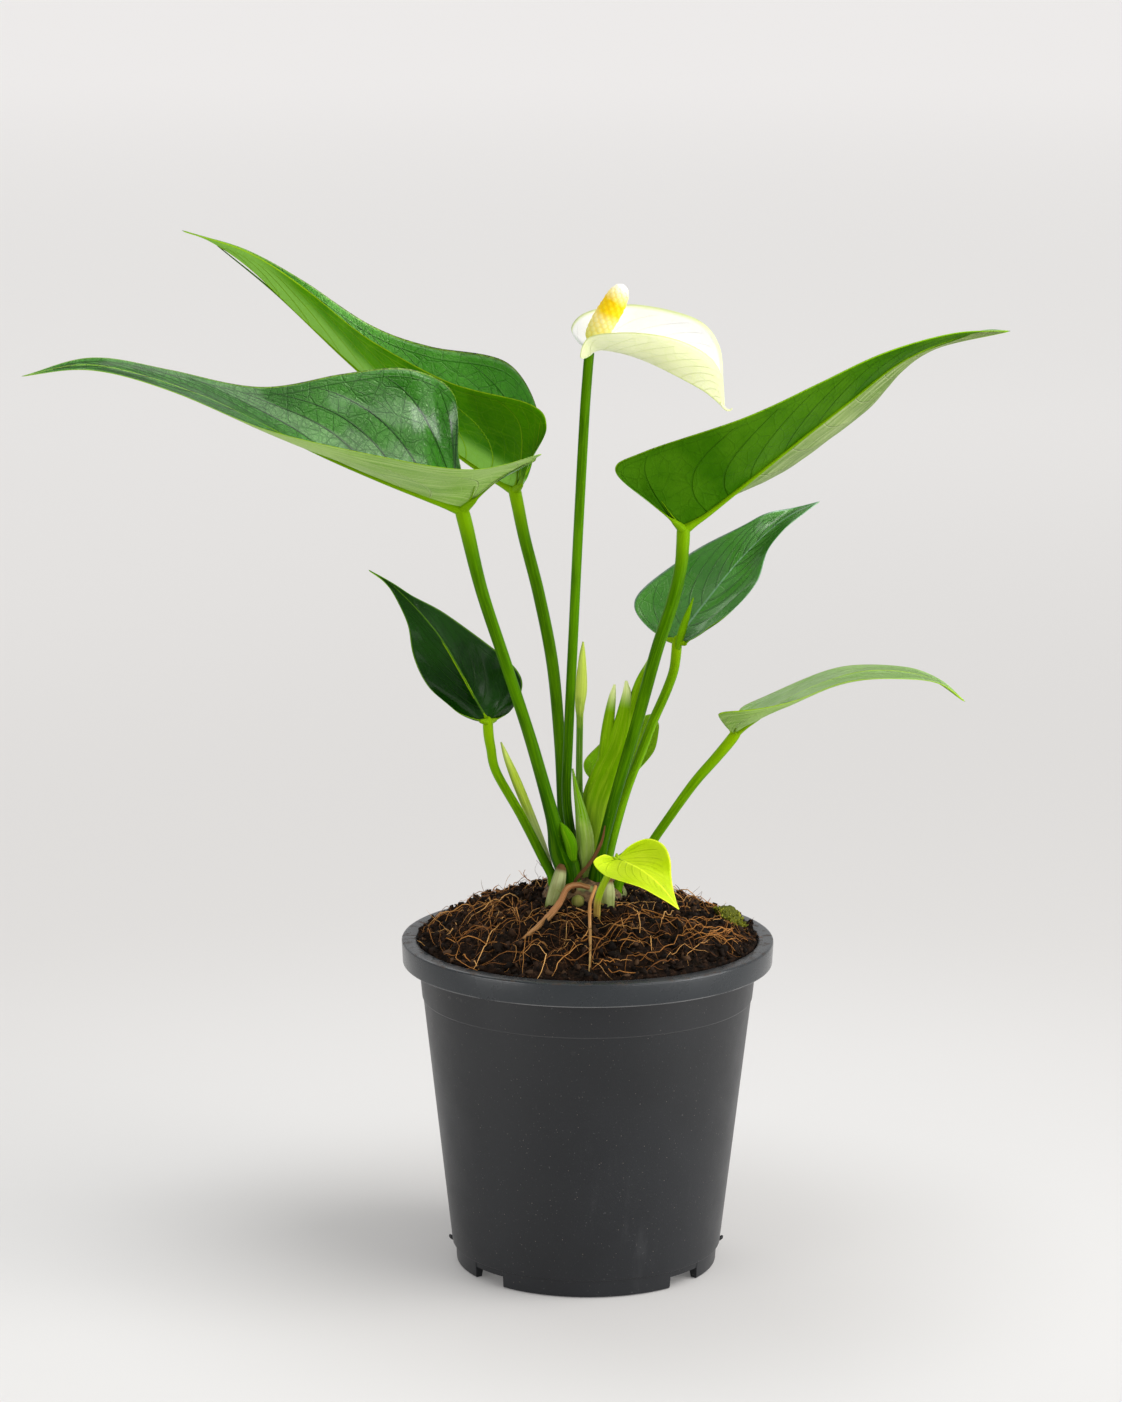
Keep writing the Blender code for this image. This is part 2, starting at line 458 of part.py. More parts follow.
def add_pot():
    pot = add_object("pot", *lathe(pot_profile(), POT_SEGMENTS), "pot")
    cutters = []
    for angle in NOTCH_ANGLES:
        turn = math.radians(angle - 90)
        place = (FOOT_RADIUS * math.cos(turn), FOOT_RADIUS * math.sin(turn), NOTCH_HEIGHT / 2 - 0.5)
        cutters.append(box("notch", (10, NOTCH_WIDTH, NOTCH_HEIGHT + 1), place, turn))
    for k in range(DRAIN_COUNT):
        turn = 2 * math.pi * (k + 0.5) / DRAIN_COUNT
        place = (DRAIN_CIRCLE * math.cos(turn), DRAIN_CIRCLE * math.sin(turn))
        cutters.append(cylinder("drain", DRAIN_RADIUS, 0, FLOOR_TOP + 1, place, 10))
    combine(pot, cutters, "DIFFERENCE")


def soil_height(x, y):
    """How far the potting mix stands above its edge: a mound with crumbs, level round the crown."""
    r = math.hypot(x, y)
    mound = (SOIL_TOP_Z - SOIL_EDGE_Z) * (1 - min(r / 57.5, 1) ** 2.2)
    crumbs = 0.9 * math.sin(0.55 * x + 1.3) * math.sin(0.62 * y + 0.4) + 0.7 * math.sin(0.31 * x - 0.44 * y + 2)
    return mound + crumbs * min(1, max(0, (r - 14) / 10))


def add_soil():
    wall_in = WALL_TOP_RADIUS - WALL - CLEARANCE
    foot_in = WALL_FOOT_RADIUS - WALL - CLEARANCE
    rim_bottom = POT_HEIGHT - RIM_BAND
    profile = [(0, FLOOR_TOP + CLEARANCE), (foot_in - 1.1, FLOOR_TOP + CLEARANCE), (foot_in, FLOOR_TOP + 1.4),
               (wall_in, rim_bottom - 1), (SOIL_RINGS[0] - 0.1, POT_HEIGHT - 1.2)]
    low = len(profile)
    profile += [(radius, SOIL_EDGE_Z) for radius in SOIL_RINGS]
    lift = lambda x, y, index: soil_height(x, y) if index >= low else 0
    soil = add_object("soil", *lathe(profile, SOIL_SEGMENTS, lift=lift), "soil")
    cutters = [cylinder("crown hole", CROWN_RADIUS + 0.4, CROWN_BOTTOM - CLEARANCE, CUT_TOP, CROWN_CENTRE, 32)]
    new_leaf = LEAVES["leaf_new_front"]
    cutters.append(grown("new leaf", dict(points=new_leaf["stalk"], radii=new_leaf["radii"])))
    for name in ("root_stub_left", "root_stub_front", "aerial_root_thin", "aerial_root_thick"):
        cutters.append(grown(name, STEMS[name]))
    cutters.append(ball("root bud hole", ROOT_BUD["centre"], ROOT_BUD["radius"] + CLEARANCE))
    combine(soil, cutters, "DIFFERENCE")
    return soil


def grown(name, stem):
    """A helper like a stem but thicker and longer by the clearance, to cut its bed."""
    points = [tuple(p) for p in stem["points"]]
    for end, inner in ((0, 1), (-1, -2)):
        away = unit(np.array(points[end], float) - np.array(points[inner], float))
        points[end] = tuple(np.array(points[end], float) + BED_MARGIN * away)
    radii = [r + BED_MARGIN for r in stem["radii"]]
    return add_object(name + " bed", *tube(points, radii, 8, 12, stem.get("flat", 1)), "root", helper=True)


def ball(name, centre, radius, look="root", helper=True):
    steps = 6
    profile = [(radius * math.sin(math.pi * k / steps), centre[2] - radius * math.cos(math.pi * k / steps))
               for k in range(steps + 1)]
    profile[0], profile[-1] = (0, profile[0][1]), (0, profile[-1][1])
    return add_object(name, *lathe(profile, 10, centre[:2]), look, helper)


def add_crown():
    """The rhizome that the stalks grow from, with a plain socket for each of them."""
    r, z = CROWN_RADIUS, CROWN_TOP
    profile = [(0, CROWN_BOTTOM), (r - 0.5, CROWN_BOTTOM), (r, CROWN_BOTTOM + 0.6), (r, z - 6.5), (r - 1.4, z - 4),
               (r - 4, z - 1.6), (r - 7.5, z - 0.5), (0, z)]
    bumps = lambda x, y, index: 0.5 * math.sin(1.1 * x + 0.7) * math.cos(0.9 * y) if 3 < index < 7 else 0
    crown = add_object("crown", *lathe(profile, 24, CROWN_CENTRE, bumps), "crown")
    sockets = []
    for name, radius in SOCKETS.items():
        sockets.append((LEAVES[name]["stalk"][-1], radius))
    sockets.append((FLOWER_STALK["points"][-1], FLOWER_STALK["radii"][-1]))
    for name in ("flower_bud", "cataphyll_left", "cataphyll_front", "dried_sheath"):
        sockets.append((STEMS[name]["points"][-1], STEMS[name]["radii"][-1]))
    sockets.append((NEW_SHOOT[0]["points"][-1], NEW_SHOOT[0]["radii"][-1]))
    cutters = [cylinder("socket", radius + CLEARANCE, SOCKET_FLOOR, CUT_TOP, place[:2], 10) for place, radius in sockets]
    combine(crown, cutters, "DIFFERENCE")


def florets(t, sides):
    """Beads on the spadix: the rings swell and shrink in turn, and each side is half a bead behind the last."""
    behind = math.pi * (np.arange(sides) % 2)
    return 1 + FLORET_DEPTH * np.cos(FLORET_RINGS * math.pi * t[:, None] + behind[None])


def add_flower():
    blade("spathe", SPATHE, SPATHE_THICKNESS, "spathe")
    stalk = add_object("flower_stalk", *tube(**FLOWER_STALK, sides=8, rings=16), "stalk")
    spadix = add_object("spadix", *tube(**SPADIX, sides=12, rings=16, relief=florets), "spadix")
    for obj in (stalk, spadix):
        thick, _, _ = blade("spathe clearance", SPATHE, SPATHE_THICKNESS + 2 * CLEARANCE, "spathe", helper=True)
        combine(obj, [thick], "DIFFERENCE")


def add_shoots():
    for name, stem in STEMS.items():
        look = "root" if "root" in name or name == "dried_sheath" else "pale shoot"
        add_object(name, *tube(**stem, sides=7, rings=9), look)
    body, *others = NEW_SHOOT
    shoot = add_object("new_shoot", *tube(**body, sides=8, rings=13), "pale shoot")
    rolls = [add_object("roll", *tube(**other, sides=7, rings=7), "pale shoot", helper=True) for other in others]
    combine(shoot, rolls)
    ball("root_bud", ROOT_BUD["centre"], ROOT_BUD["radius"], helper=False)


def add_moss(soil):
    """A low cushion that lies on the mix."""
    steps, segments = 4, 14
    x0, y0 = MOSS["centre"]
    radii = [0] + [MOSS["radius"] * k / steps for k in range(1, steps + 1)]
    under = lambda x, y: SOIL_EDGE_Z + soil_height(x, y) - 1
    low = [(radius, 0) for radius in radii]
    high = [(radius, MOSS["height"] * (1 - (radius / MOSS["radius"]) ** 2) + 1.6) for radius in reversed(radii)]
    tufts = lambda x, y: 0.4 * math.sin(2.1 * x) * math.sin(1.9 * y)
    lift = lambda x, y, index: under(x, y) + (tufts(x, y) if index > steps + 1 else 0)
    moss = add_object("moss", *lathe(low + high, segments, (x0, y0), lift), "moss")
    bed = add_object("moss bed", [v.co / MM for v in soil.data.vertices], [f.vertices for f in soil.data.polygons],
                     "soil", helper=True)
    for vertex in bed.data.vertices:
        vertex.co.z += CLEARANCE * MM
    combine(moss, [bed], "DIFFERENCE")


def main():
    for obj in list(bpy.data.objects):
        bpy.data.objects.remove(obj)
    for name in ("potted_anthurium", "cutters"):
        bpy.context.scene.collection.children.link(bpy.data.collections.new(name))
    bpy.data.collections["cutters"].hide_render = True
    add_pot()
    soil = add_soil()
    add_crown()
    for name, leaf in LEAVES.items():
        add_leaf(name, leaf, "new blade" if name == "leaf_new_front" else "blade")
    add_flower()
    add_shoots()
    add_moss(soil)


main()
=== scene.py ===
"""Looks of the potted anthurium: fine leaves, flower, stems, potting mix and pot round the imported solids.

Points, radii and widths are in millimetres. Lights, the floor and the finished objects are in metres.
"""

import math
import random

import bmesh
import bpy
import numpy as np
from mathutils import Matrix, Vector, noise


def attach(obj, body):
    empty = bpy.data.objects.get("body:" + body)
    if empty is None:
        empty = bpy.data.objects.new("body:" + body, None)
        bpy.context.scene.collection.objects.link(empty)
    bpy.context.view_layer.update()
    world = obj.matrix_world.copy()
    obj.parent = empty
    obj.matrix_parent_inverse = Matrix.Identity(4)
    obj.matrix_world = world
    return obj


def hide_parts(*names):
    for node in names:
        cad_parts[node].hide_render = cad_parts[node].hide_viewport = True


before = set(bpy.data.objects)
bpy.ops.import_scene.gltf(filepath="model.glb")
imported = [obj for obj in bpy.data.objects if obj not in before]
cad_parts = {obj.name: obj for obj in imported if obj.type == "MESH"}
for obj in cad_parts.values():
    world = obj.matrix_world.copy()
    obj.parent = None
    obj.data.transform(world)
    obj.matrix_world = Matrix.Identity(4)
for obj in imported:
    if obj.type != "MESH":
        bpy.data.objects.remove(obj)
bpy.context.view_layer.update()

MM = 0.001
TURN = 2 * math.pi
FRONT = (0.0, 1.0, 0.0)  # the way that the camera looks

# Camera, fitted to the pot in the photograph
CAMERA_PLACE = (-9.58, -1400.0, 472.4)
CAMERA_PITCH, CAMERA_ROLL = 0.192, 0.0036
LENS, SENSOR = 105.88, 36.0

# Floor: its own faint glow, the share of its shade that it reflects, and its shades going away from the pot: a
# painted shadow round the pot, deepest at its foot, and painted light that brightens it far out, where the lamps
# fall off
FLOOR_RADIUS, FLOOR_SIDES, FLOOR_Z = 30.0, 64, -0.0003
FLOOR_GLOW, FLOOR_SHARE = 0.15, 0.625
FLOOR_MIDDLE = (0.8, 0.785, 0.77)
FLOOR_PAINTED_LIGHT_AND_SHADOW = [((0.905, 0.895, 0.885), 0.55, 0.12), ((0.81, 0.795, 0.78), 0.2, 0.07),
               ((1.035, 1.02, 1.005), 0.6, 2.6), ((1.13, 1.11, 1.1), 3.5, 10.0)]

# Light: the room's level, a soft sun, and panels by place, target, size and power
ROOM_COLOUR, ROOM_LEVEL = (0.99, 0.99, 1.0, 1), 0.635
KEY = dict(towards=(-1.0, 0.35, -1.2), energy=1.4, angle=math.radians(50), color=(1.0, 0.98, 0.95))
PANELS = {
    "softbox": ((0.9, -0.2, 1.5), (0, 0, 0.25), (1.5, 1.5), 3),
    "front_softbox": ((-0.27, -0.5, 1.35), (0.03, 0.03, 0.23), (0.4, 0.4), 1.2),
    "right_high": ((0.95, -0.08, 0.95), (-0.04, 0.01, 0.2), (0.35, 0.35), 1.6),
    "back_panel": ((-0.6, 1.2, 1.3), (0, 0, 0.25), (1.0, 0.8), 4),
    "right_strip": ((1.08, -0.35, 0.2), (-0.06, -0.02, 0.3), (0.7, 0.38), 5.8),
    "right_front": ((0.75, -0.75, 0.16), (-0.06, -0.02, 0.3), (0.9, 0.3), 2.6),
    "left_strip": ((-0.64, -0.44, 0.11), (-0.03, 0.04, 0.3), (0.5, 0.19), 1.9),
}

# Pot and mix
RIM_RADIUS, POT_HEIGHT, RIM_BAND, LIP_WIDTH = 65.0, 116.3, 8.2, 5.3
WALL_TOP_RADIUS, WALL_FOOT_RADIUS, FOOT_RADIUS, FOOT_HEIGHT = 59.1, 47.3, 45.9, 6.4
WALL, STEP_BELOW_RIM, FLOOR_TOP, FLOOR_UNDER, PAD_RADIUS = 1.6, 12.5, 6.0, 4.2, 12.5
RIM_BOTTOM = POT_HEIGHT - RIM_BAND
STEP_Z = RIM_BOTTOM - STEP_BELOW_RIM
NOTCH_ANGLES, NOTCH_WIDTH, NOTCH_HEIGHT = (-48, 48, 132, 228), 14.4, 3.9
POT_TURN_STEP, POT_SHARP_ANGLE = 1.5, 38
DRAIN_COUNT, DRAIN_CIRCLE, DRAIN_RADIUS = 8, 29.0, 3.0
NUB_PATH, NUB_RADII = ((0.6, -0.5), (2.0, 0.2), (2.5, 0.9)), (0.9, 0.7, 0.3)
SOIL_EDGE_Z, SOIL_TOP_Z, SOIL_RADIUS, SOIL_CEILING = 117.5, 133.5, 59.2, 136.5
SOIL_RINGS, SOIL_SIDES = 170, 380
CROWN_CENTRE, CROWN_RADIUS = (-1.0, 0.0), 15.0

# Crumbs, fibres and moss: how many, how far out, and the seeds of their random draws
CRUMBS, CRUMB_REACH, CRUMB_SEED = 6400, 59.3, 11
CRUMB_EDGE, EDGE_CRUMB = 57, 1.0
FIBRES, FIBRE_REACH, FIBRE_STEPS, FIBRE_SEED = 520, 58, 12, 5
FIBRE_END, STANDING_BEHIND, STANDING_ELSEWHERE = 62, 0.3, 0.1
MOSS_LEAVES, MOSS_TURN, MOSS_SEED = 420, 6.283, 3
HEADINGS = 6.28  # the span of random headings, just under a full turn
THREAD_START = (0.31, 0.17, 0.93)  # a direction that no fibre follows
# Random sizes: the least, how much more at most, and how strongly they lean to the least
CRUMB_SIZE, FIBRE_THICKNESS, FIBRE_LENGTH = (0.2, 1.3, 5), (0.06, 0.13, 2.4), (7, 30, 1.3)
STANDING_LENGTH, FIBRE_LEAN, FIBRE_ARCH = (4, 11, 1.5), (0.35, 0.6, 1), (0.5, 2.6, 2.2)
BUNDLE = dict(start=(34.0, -29.0), heading=0.85, count=7, steps=14)
MOSS = dict(centre=(50.0, 5.0), radius=5.4, height=3.2)

# Tubes and merging
RIB_SAMPLES, TUBE_SAMPLES, LEAST_RINGS, LEAST_RADIUS = 400, 200, 8, 0.08
LEAF_MERGE, POT_MERGE, NO_LENGTH = 0.004, 0.002, 1e-7

# Blades: where each main vein leaves the midrib, and how far it has swept forward at the margin
VEIN_PLACES = (-0.4, -0.12, 0.02, 0.13, 0.25, 0.375, 0.44, 0.505, 0.575, 0.64, 0.705, 0.765, 0.825, 0.88, 0.93,
               1.0, 1.2)
VEIN_SWEEP, SWEEP_POWER, VEIN_GAPS = 0.21, 1.9, (0.05, 25)
VEIN_ROOTS = (0, 0, 0, 0.08, 0.22, 0.42, 0.62, 0.82, 1)
COLUMN_POWER, FEW_ROWS = 1.3, 100
QUILT_GAP, QUILT_WIDTH, WAVE_WIDTH, WAVES = 12, 18, 25, 3.3
GROOVE, GROOVE_REACH, RIDGE_REACH = 0.28, 0.7, 0.85
LARGE_BLADE = dict(thickness=0.5, quilt=0.5, wave=0.8, rib_height=0.2)
SMALL_BLADE = dict(thickness=0.35, quilt=0.15, wave=0.3, rib_height=0.2)
SPATHE_BLADE = dict(thickness=0.55, quilt=0.1, wave=0.3, rib_height=0.25)

# Raised ribs under a blade: places along the midrib and across a half, and thickness against the stalk's
RIB_PLACES = (0.02, 0.05, 0.1, 0.22, 0.36, 0.51, 0.68, 0.85)
RIB_TAPER = (0.5, 0.84, 0.66, 0.48, 0.37, 0.29, 0.24, 0.2, 0.15, 0.08)
RIB_SINK = (0.35, 0.6, 0.9, 1.1, 1.1, 1.1, 1.1, 1.1)
BASAL_SHARES = (0.42, 0.3, 0.2, 0.11, 0.04)
BASAL_TAPER = (0.04, 0.07, 0.11, 0.18, 0.34, 0.66, 0.4)
WING_PLACES = (0.09, 0.065, 0.042, 0.022, 0.006)
WING_TAPER = (0.03, 0.07, 0.12, 0.22, 0.42, 0.74, 0.45)
ALL_JOINT = 100.0

# The spadix: its mesh, and florets on a spiral
SPADIX_RINGS, SPADIX_SIDES = 200, 96
FLORETS, GOLDEN_TURN, FLORET_RADIUS, FLORET_HEIGHT = 150, 0.38197, 0.95, 0.2

# Surfaces
STEM_IOR, COAT_ROUGHNESS = 1.25, 0.16
LEAFY, GLOSSY, WOODY = (0.7, 1.0, 0.15), (0.85, 1.0, 0.65), (1, 0.9, 0.8)
VEIN_SHADE, STEM_SHADE = (0.5, 0.66, 0.45), (0.42, 0.54, 0.3)

# Leaves: the stalk from the blade down, the midrib and both margins from the stalk to the tip, how far each
# half sags and bends, the rows and columns of its mesh, and the looks of its top, of the underside of its right
# and left halves, and of its stalk
# The looks of the tops and undersides are lit and shaded copies of one leaf top and one leaf underside, with
# painted light, painted shade and, on the low leaf's top, a painted reflection in their colours
LEAVES = {
    "leaf_front_left": dict(
        stalk=[(-43.5, -10, 268), (-42, -10, 262), (-36.8, -10, 240.5), (-28.4, -9, 214.5), (-20, -7, 188),
               (-12.5, -4, 160.5), (-9.8, -2.8, 149), (-7.3, -3.6, 142.5), (-6.5, -4, 138.5), (-6.5, -4, 129.3)],
        radii=(2.5, 2.5, 2.15, 2.05, 2.1, 2.5, 4.0, 4.4, 3.9, 3.9),
        rib=[(-43.5, -10, 268.5), (-68.5, -20, 279.5), (-97, -30, 293.5), (-129.5, -38, 310.5),
             (-163.5, -44, 321), (-188, -46, 317.5)],
        left=[(-40.2, -14.5, 271.5), (-28.4, -24, 282.4), (-16.5, -30.5, 290), (-40, -51, 288.5),
              (-72, -55.5, 292.5), (-105.5, -54.5, 301.5), (-139, -46.5, 313), (-165, -45.5, 319.5)],
        right=[(-42.5, -2.5, 271.5), (-45, 3, 286.4), (-46.5, 4.5, 305.8), (-60, -10, 316),
               (-84, -17, 315.3), (-111, -20, 311.2), (-139.5, -34, 318.6), (-165, -43, 323.5)],
        sag_left=(0, 0.02, 0.05, 0), sag_right=(0.12, 0.15, 0.10, 0),
        bend_left=(0, 0.03, 0.07, 0.03, 0, 0, 0, 0, 0), rows=150, columns=34,
        looks=("leaf_top", "pale_leaf_underside", "pale_leaf_underside", "stalk")),
    "leaf_back_left": dict(
        stalk=[(-25.8, 14, 271.5), (-24.7, 14, 266), (-22.3, 14, 254.5), (-17.3, 13, 235), (-12.6, 12, 211),
               (-10, 11, 184), (-9, 9.5, 163), (-8.5, 7, 147), (-8.5, 6, 138.5), (-8.5, 6, 129.3)],
        radii=(2.3, 2.2, 2.1, 2.1, 2.1, 2.0, 1.9, 1.9, 2.0, 2.0),
        rib=[(-25.8, 14, 271.8), (-36, 20, 277.2), (-48.8, 28, 285.1), (-65.7, 38, 297.6), (-84.5, 48, 312.6),
             (-102.5, 56, 328), (-120.5, 63, 344), (-134.5, 67, 353), (-145, 70, 356.5)],
        left=[(-24, 9.5, 273.5), (-20.1, -2, 284.1), (-15.2, -6, 296.6), (-21, -4, 304.5),
              (-49.6, 9, 310), (-74.5, 26, 321.5), (-99, 48.5, 337.5), (-121, 59.5, 350)],
        right=[(-25.5, 18.5, 272.3), (-23.8, 29, 282), (-18, 33.5, 296.5), (-28.5, 41.5, 313),
               (-56.5, 54.5, 317), (-78.5, 62, 324.5), (-100.5, 61, 339), (-122, 68, 350)],
        sag_left=(0, 0.04, 0.06, 0), sag_right=(0.25, 0.35, 0.20, 0.05), rows=150, columns=34,
        looks=("far_leaf_top", "back_leaf_underside", "back_leaf_underside", "stalk")),
    "leaf_right": dict(
        stalk=[(32.5, 10, 258.5), (32.3, 9.5, 253), (31.5, 8, 245), (28.5, 5, 233), (23.5, 2, 218), (17, -1, 194),
               (10, -3, 169.5), (5, -4, 150), (3, -3.5, 138.5), (3, -3.5, 129.3)],
        radii=(2.4, 2.3, 2.2, 2.2, 2.2, 2.1, 2.0, 2.0, 2.8, 2.8),
        rib=[(32.5, 10, 259), (43.5, 13, 266.5), (56.5, 17, 276.5), (73, 22, 289), (88.5, 26, 300.5),
             (104.5, 31, 312.5), (116.5, 33, 319), (136, 37, 325), (147, 38, 325)],
        sweep=0.15,
        left=[(35, 15.5, 259), (39, 28.5, 263), (42, 39, 268.5), (47, 45.5, 271),
              (61.1, 44, 272.2), (78.6, 44, 281.6), (97.2, 41, 296.1), (114.8, 38.5, 316.1)],
        right=[(30, 5.5, 261.5), (18.2, -3, 272.1), (8.6, -2, 281.6), (18.5, 0, 287.4),
               (51, 0, 298), (78, 12.5, 309.5), (102, 22.5, 319), (127, 32, 325)],
        sag_left=(0.03, 0.05, 0.08, 0.08, 0), sag_right=(0, 0.03, 0.08, 0), rows=150, columns=34,
        looks=("far_leaf_top", "right_leaf_underside", "far_leaf_underside", "stalk")),
    "leaf_mid_right": dict(
        stalk=[(31, 24, 217), (30.8, 24, 213), (29.9, 23.6, 206.5), (27.2, 22.5, 199), (22.7, 20.5, 189),
               (19.3, 18, 180.4), (13.5, 12, 166), (8.5, 6, 149.5), (6.5, 3, 140), (6.5, 3, 136), (6.5, 3, 129.3)],
        radii=(1.8, 1.8, 1.7, 1.7, 1.7, 1.7, 1.6, 1.7, 1.8, 1.8, 1.8),
        rib=[(31, 24, 217.5), (39, 29, 227.5), (53.5, 38, 244), (68, 45, 256.5), (82, 50, 263)],
        left=[(28, 26.5, 217), (21, 29.5, 221), (16, 33, 227.5), (20, 36.5, 234.5),
              (36, 44.5, 245), (53.5, 42, 255), (63.5, 42.5, 260), (73, 49, 261)],
        right=[(33.5, 21, 216.5), (37, 16.5, 220), (41, 15.5, 223), (48.5, 15, 228),
               (59, 30, 238), (63.5, 35.5, 247.5), (69, 41, 254.5), (76, 46, 259)],
        sag=(0.10, 0.10, 0.08, 0), rows=110, columns=26,
        looks=("middle_leaf_top", "right_leaf_underside", "right_leaf_underside", "light_stalk")),
    "leaf_mid_left": dict(
        stalk=[(-35, 8, 191), (-34.8, 8, 187), (-34, 8, 182), (-32, 7, 173.5), (-23.5, 4, 159), (-15.5, 0.5, 144),
               (-12.4, -0.5, 137.5), (-12.2, -0.5, 129.3)],
        radii=(1.8, 1.8, 1.7, 1.6, 1.6, 1.7, 1.7, 1.7),
        rib=[(-35, 8, 191.5), (-39.5, 8, 199.5), (-51.5, 8, 221), (-66, 10, 237), (-76.5, 12, 244)],
        left=[(-37, 4.5, 192), (-41.5, -1.5, 195), (-47.5, 0, 197.5), (-55, 5.5, 203.5),
              (-61, 8, 215), (-63, 8, 225.5), (-66.5, 8.5, 234), (-71, 10, 240)],
        right=[(-33, 11.5, 191), (-27.5, 17, 193), (-23.5, 15, 200), (-24.5, 16, 207.5),
               (-35.5, 22.5, 216.5), (-50, 18, 227.5), (-61.5, 10, 235.5), (-69.5, 10.5, 240.5)],
        sag=(0.10, 0.10, 0.08, 0), rows=110, columns=26,
        looks=("dark_leaf_top", "right_leaf_underside", "right_leaf_underside", "light_stalk")),
    "leaf_low_right": dict(
        stalk=[(50.5, -8, 190.5), (48, -8, 187), (43.5, -8, 181.5), (36, -8, 172.5), (25.5, -7, 157),
               (18, -6, 145.5), (11.8, -5, 138.5), (10.2, -4.5, 134.5), (10.2, -4.5, 129.3)],
        radii=(1.9, 1.9, 1.8, 1.7, 1.6, 1.6, 1.7, 1.8, 1.8),
        rib=[(50.5, -8, 191), (60.5, -14, 199.5), (76, -18, 209), (95, -20, 215), (114.5, -20, 213),
             (128.5, -18, 204)],
        left=[(51, -5.5, 192), (52, 1.5, 193.5), (52.5, 6, 196), (58, 6, 200),
              (73.5, -3.5, 208.5), (89.5, -12.5, 215.5), (107.5, -17, 216), (120, -18, 211.5)],
        right=[(49, -10, 192.5), (46.5, -15, 196.5), (44.5, -19.5, 200), (53, -27.5, 202.5),
               (69.5, -30, 207), (88.5, -27.5, 212.5), (107.5, -23.5, 213), (120, -21, 210.5)],
        sag=(0.12, 0.12, 0.06, 0), rows=110, columns=26,
        looks=("low_leaf_top", "pale_leaf_underside", "pale_leaf_underside", "light_stalk")),
    "leaf_new_front": dict(
        stalk=[(9.5, -38, 153), (6.8, -36.8, 147.5), (4.6, -33.4, 142), (3.2, -28.6, 136), (3, -26.6, 131),
               (3, -26.5, 121)],
        radii=(0.9, 1.2, 1.2, 1.2, 1.2, 1.2),
        rib=[(9.5, -38, 153.5), (17.5, -44, 151), (24.5, -48, 146), (30.5, -50, 138.5)],
        left=[(10.5, -36.5, 154), (14.5, -37, 158), (20, -36.5, 160), (25, -38.5, 158.5),
              (27.5, -41.5, 154.5), (28, -41.5, 148.5), (28.5, -45, 145), (29.5, -47.5, 141)],
        right=[(8.5, -39.5, 154), (5, -44, 156), (1.5, -48.5, 154.5), (4.5, -53, 151.5),
               (12, -54, 149), (18, -53, 146.5), (22.5, -52.5, 144), (26.5, -52, 141.5)],
        sag=(0.12, 0.12, 0.06, 0), rows=80, columns=20,
        looks=("young_leaf_top", "young_leaf_underside", "young_leaf_underside", "young_stalk")),
    "leaf_small_back": dict(
        stalk=[(7, 34, 159), (6.5, 31, 157), (6, 26, 153.5), (5, 16, 146.5), (4.5, 9.4, 140), (4.5, 8.5, 135),
               (4.5, 8.5, 129.3)],
        radii=(0.9, 1.1, 1.1, 1.1, 1.2, 1.2, 1.2),
        rib=[(7, 34, 159.5), (8.5, 38, 166), (13.5, 42, 174.5), (21.5, 46, 186.5)],
        left=[(5.5, 35, 160), (2.5, 40, 162.5), (-1, 42, 166.5), (-1, 42.5, 170.5),
              (3.5, 45.5, 175), (9.5, 44, 180.5), (14, 44.5, 183.5), (18, 45, 185.5)],
        right=[(8.5, 32.5, 159), (11.5, 28, 162.5), (15, 27.5, 167.5), (19.5, 32.5, 171),
               (24, 37, 176), (25.5, 40.5, 182.5), (24.5, 42.5, 185.5), (23.5, 44.5, 187)],
        sag=(0.12, 0.12, 0.10, 0), rows=80, columns=20,
        looks=("back_leaf_top", "back_leaf_top", "back_leaf_top", "light_stalk")),
}
SPATHE = dict(
    rib=[(2, -6, 324), (14.5, -9, 321), (24.5, -11, 317), (37, -12, 310.5), (42.3, -12, 306.6), (45.4, -12, 303.6)],
    left=[(1, -3.5, 325.5), (-3, 2.5, 324), (-6.5, 5.5, 329), (-1, 5.5, 334.5),
          (15, 5, 337), (35, -5, 333.5), (43.3, -9, 325), (45, -9.8, 311.5)],
    right=[(1, -7.5, 322.5), (-1, -11.5, 321), (-3.5, -16.5, 321.5), (-0.5, -19.5, 328.5),
           (11.5, -24.5, 330.5), (27, -23, 328.5), (38, -15.5, 323), (44, -12.5, 315.5)],
    sag=(0.12, 0.12, 0.12, 0), rows=90, columns=24)

FOLDED_SCALE = dict(points=[(31.2, 23, 214), (32.2, 21, 219), (34, 20, 225.5), (36.5, 19, 233.5)],
                    radii=(0.9, 1.5, 1.3, 0.2), flat=0.5)
STALK_EAR = dict(points=[(-9.7, -5.2, 158.4), (-8.0, -6.0, 155.6), (-6.0, -6.4, 151), (-5.4, -6, 145)],
                 radii=(0.3, 1.6, 2.2, 1.5), flat=0.7)
FLOWER_STALK = dict(
    points=[(-0.4, -6, 321.6), (-1, -5.6, 314), (-2, -5, 298.5), (-4, -2, 257), (-5.5, 0, 221.5), (-7, 2, 186),
            (-7.5, 3, 164.5), (-5, 4, 147), (-3.5, 4, 138.5), (-3.5, 4, 129.3)],
    radii=(1.7, 1.7, 1.7, 1.7, 1.7, 1.7, 1.7, 1.8, 1.9, 1.9))
SPADIX = dict(
    points=[(0.9, -6.6, 325.0), (1.7, -6.9, 327.2), (4.1, -7.1, 332), (7.4, -7.5, 337.6), (9.4, -7.8, 341.6),
            (10.5, -8, 344.0), (10.9, -8.1, 344.9)],
    radii=(1.8, 3.8, 4.3, 4.2, 3.6, 2.2, 0.6))
FLOWER_BUD = dict(
    points=[(-2, 9, 219.5), (-2.3, 9, 213), (-2.5, 9, 203), (-3, 9, 196), (-3, 9, 191), (-3, 9, 166.5),
            (-1, 9, 147), (0.5, 8.5, 138.5), (0.5, 8.5, 129.3)],
    radii=(0.3, 1.4, 2.1, 1.6, 1.2, 1.2, 1.2, 1.2, 1.2))
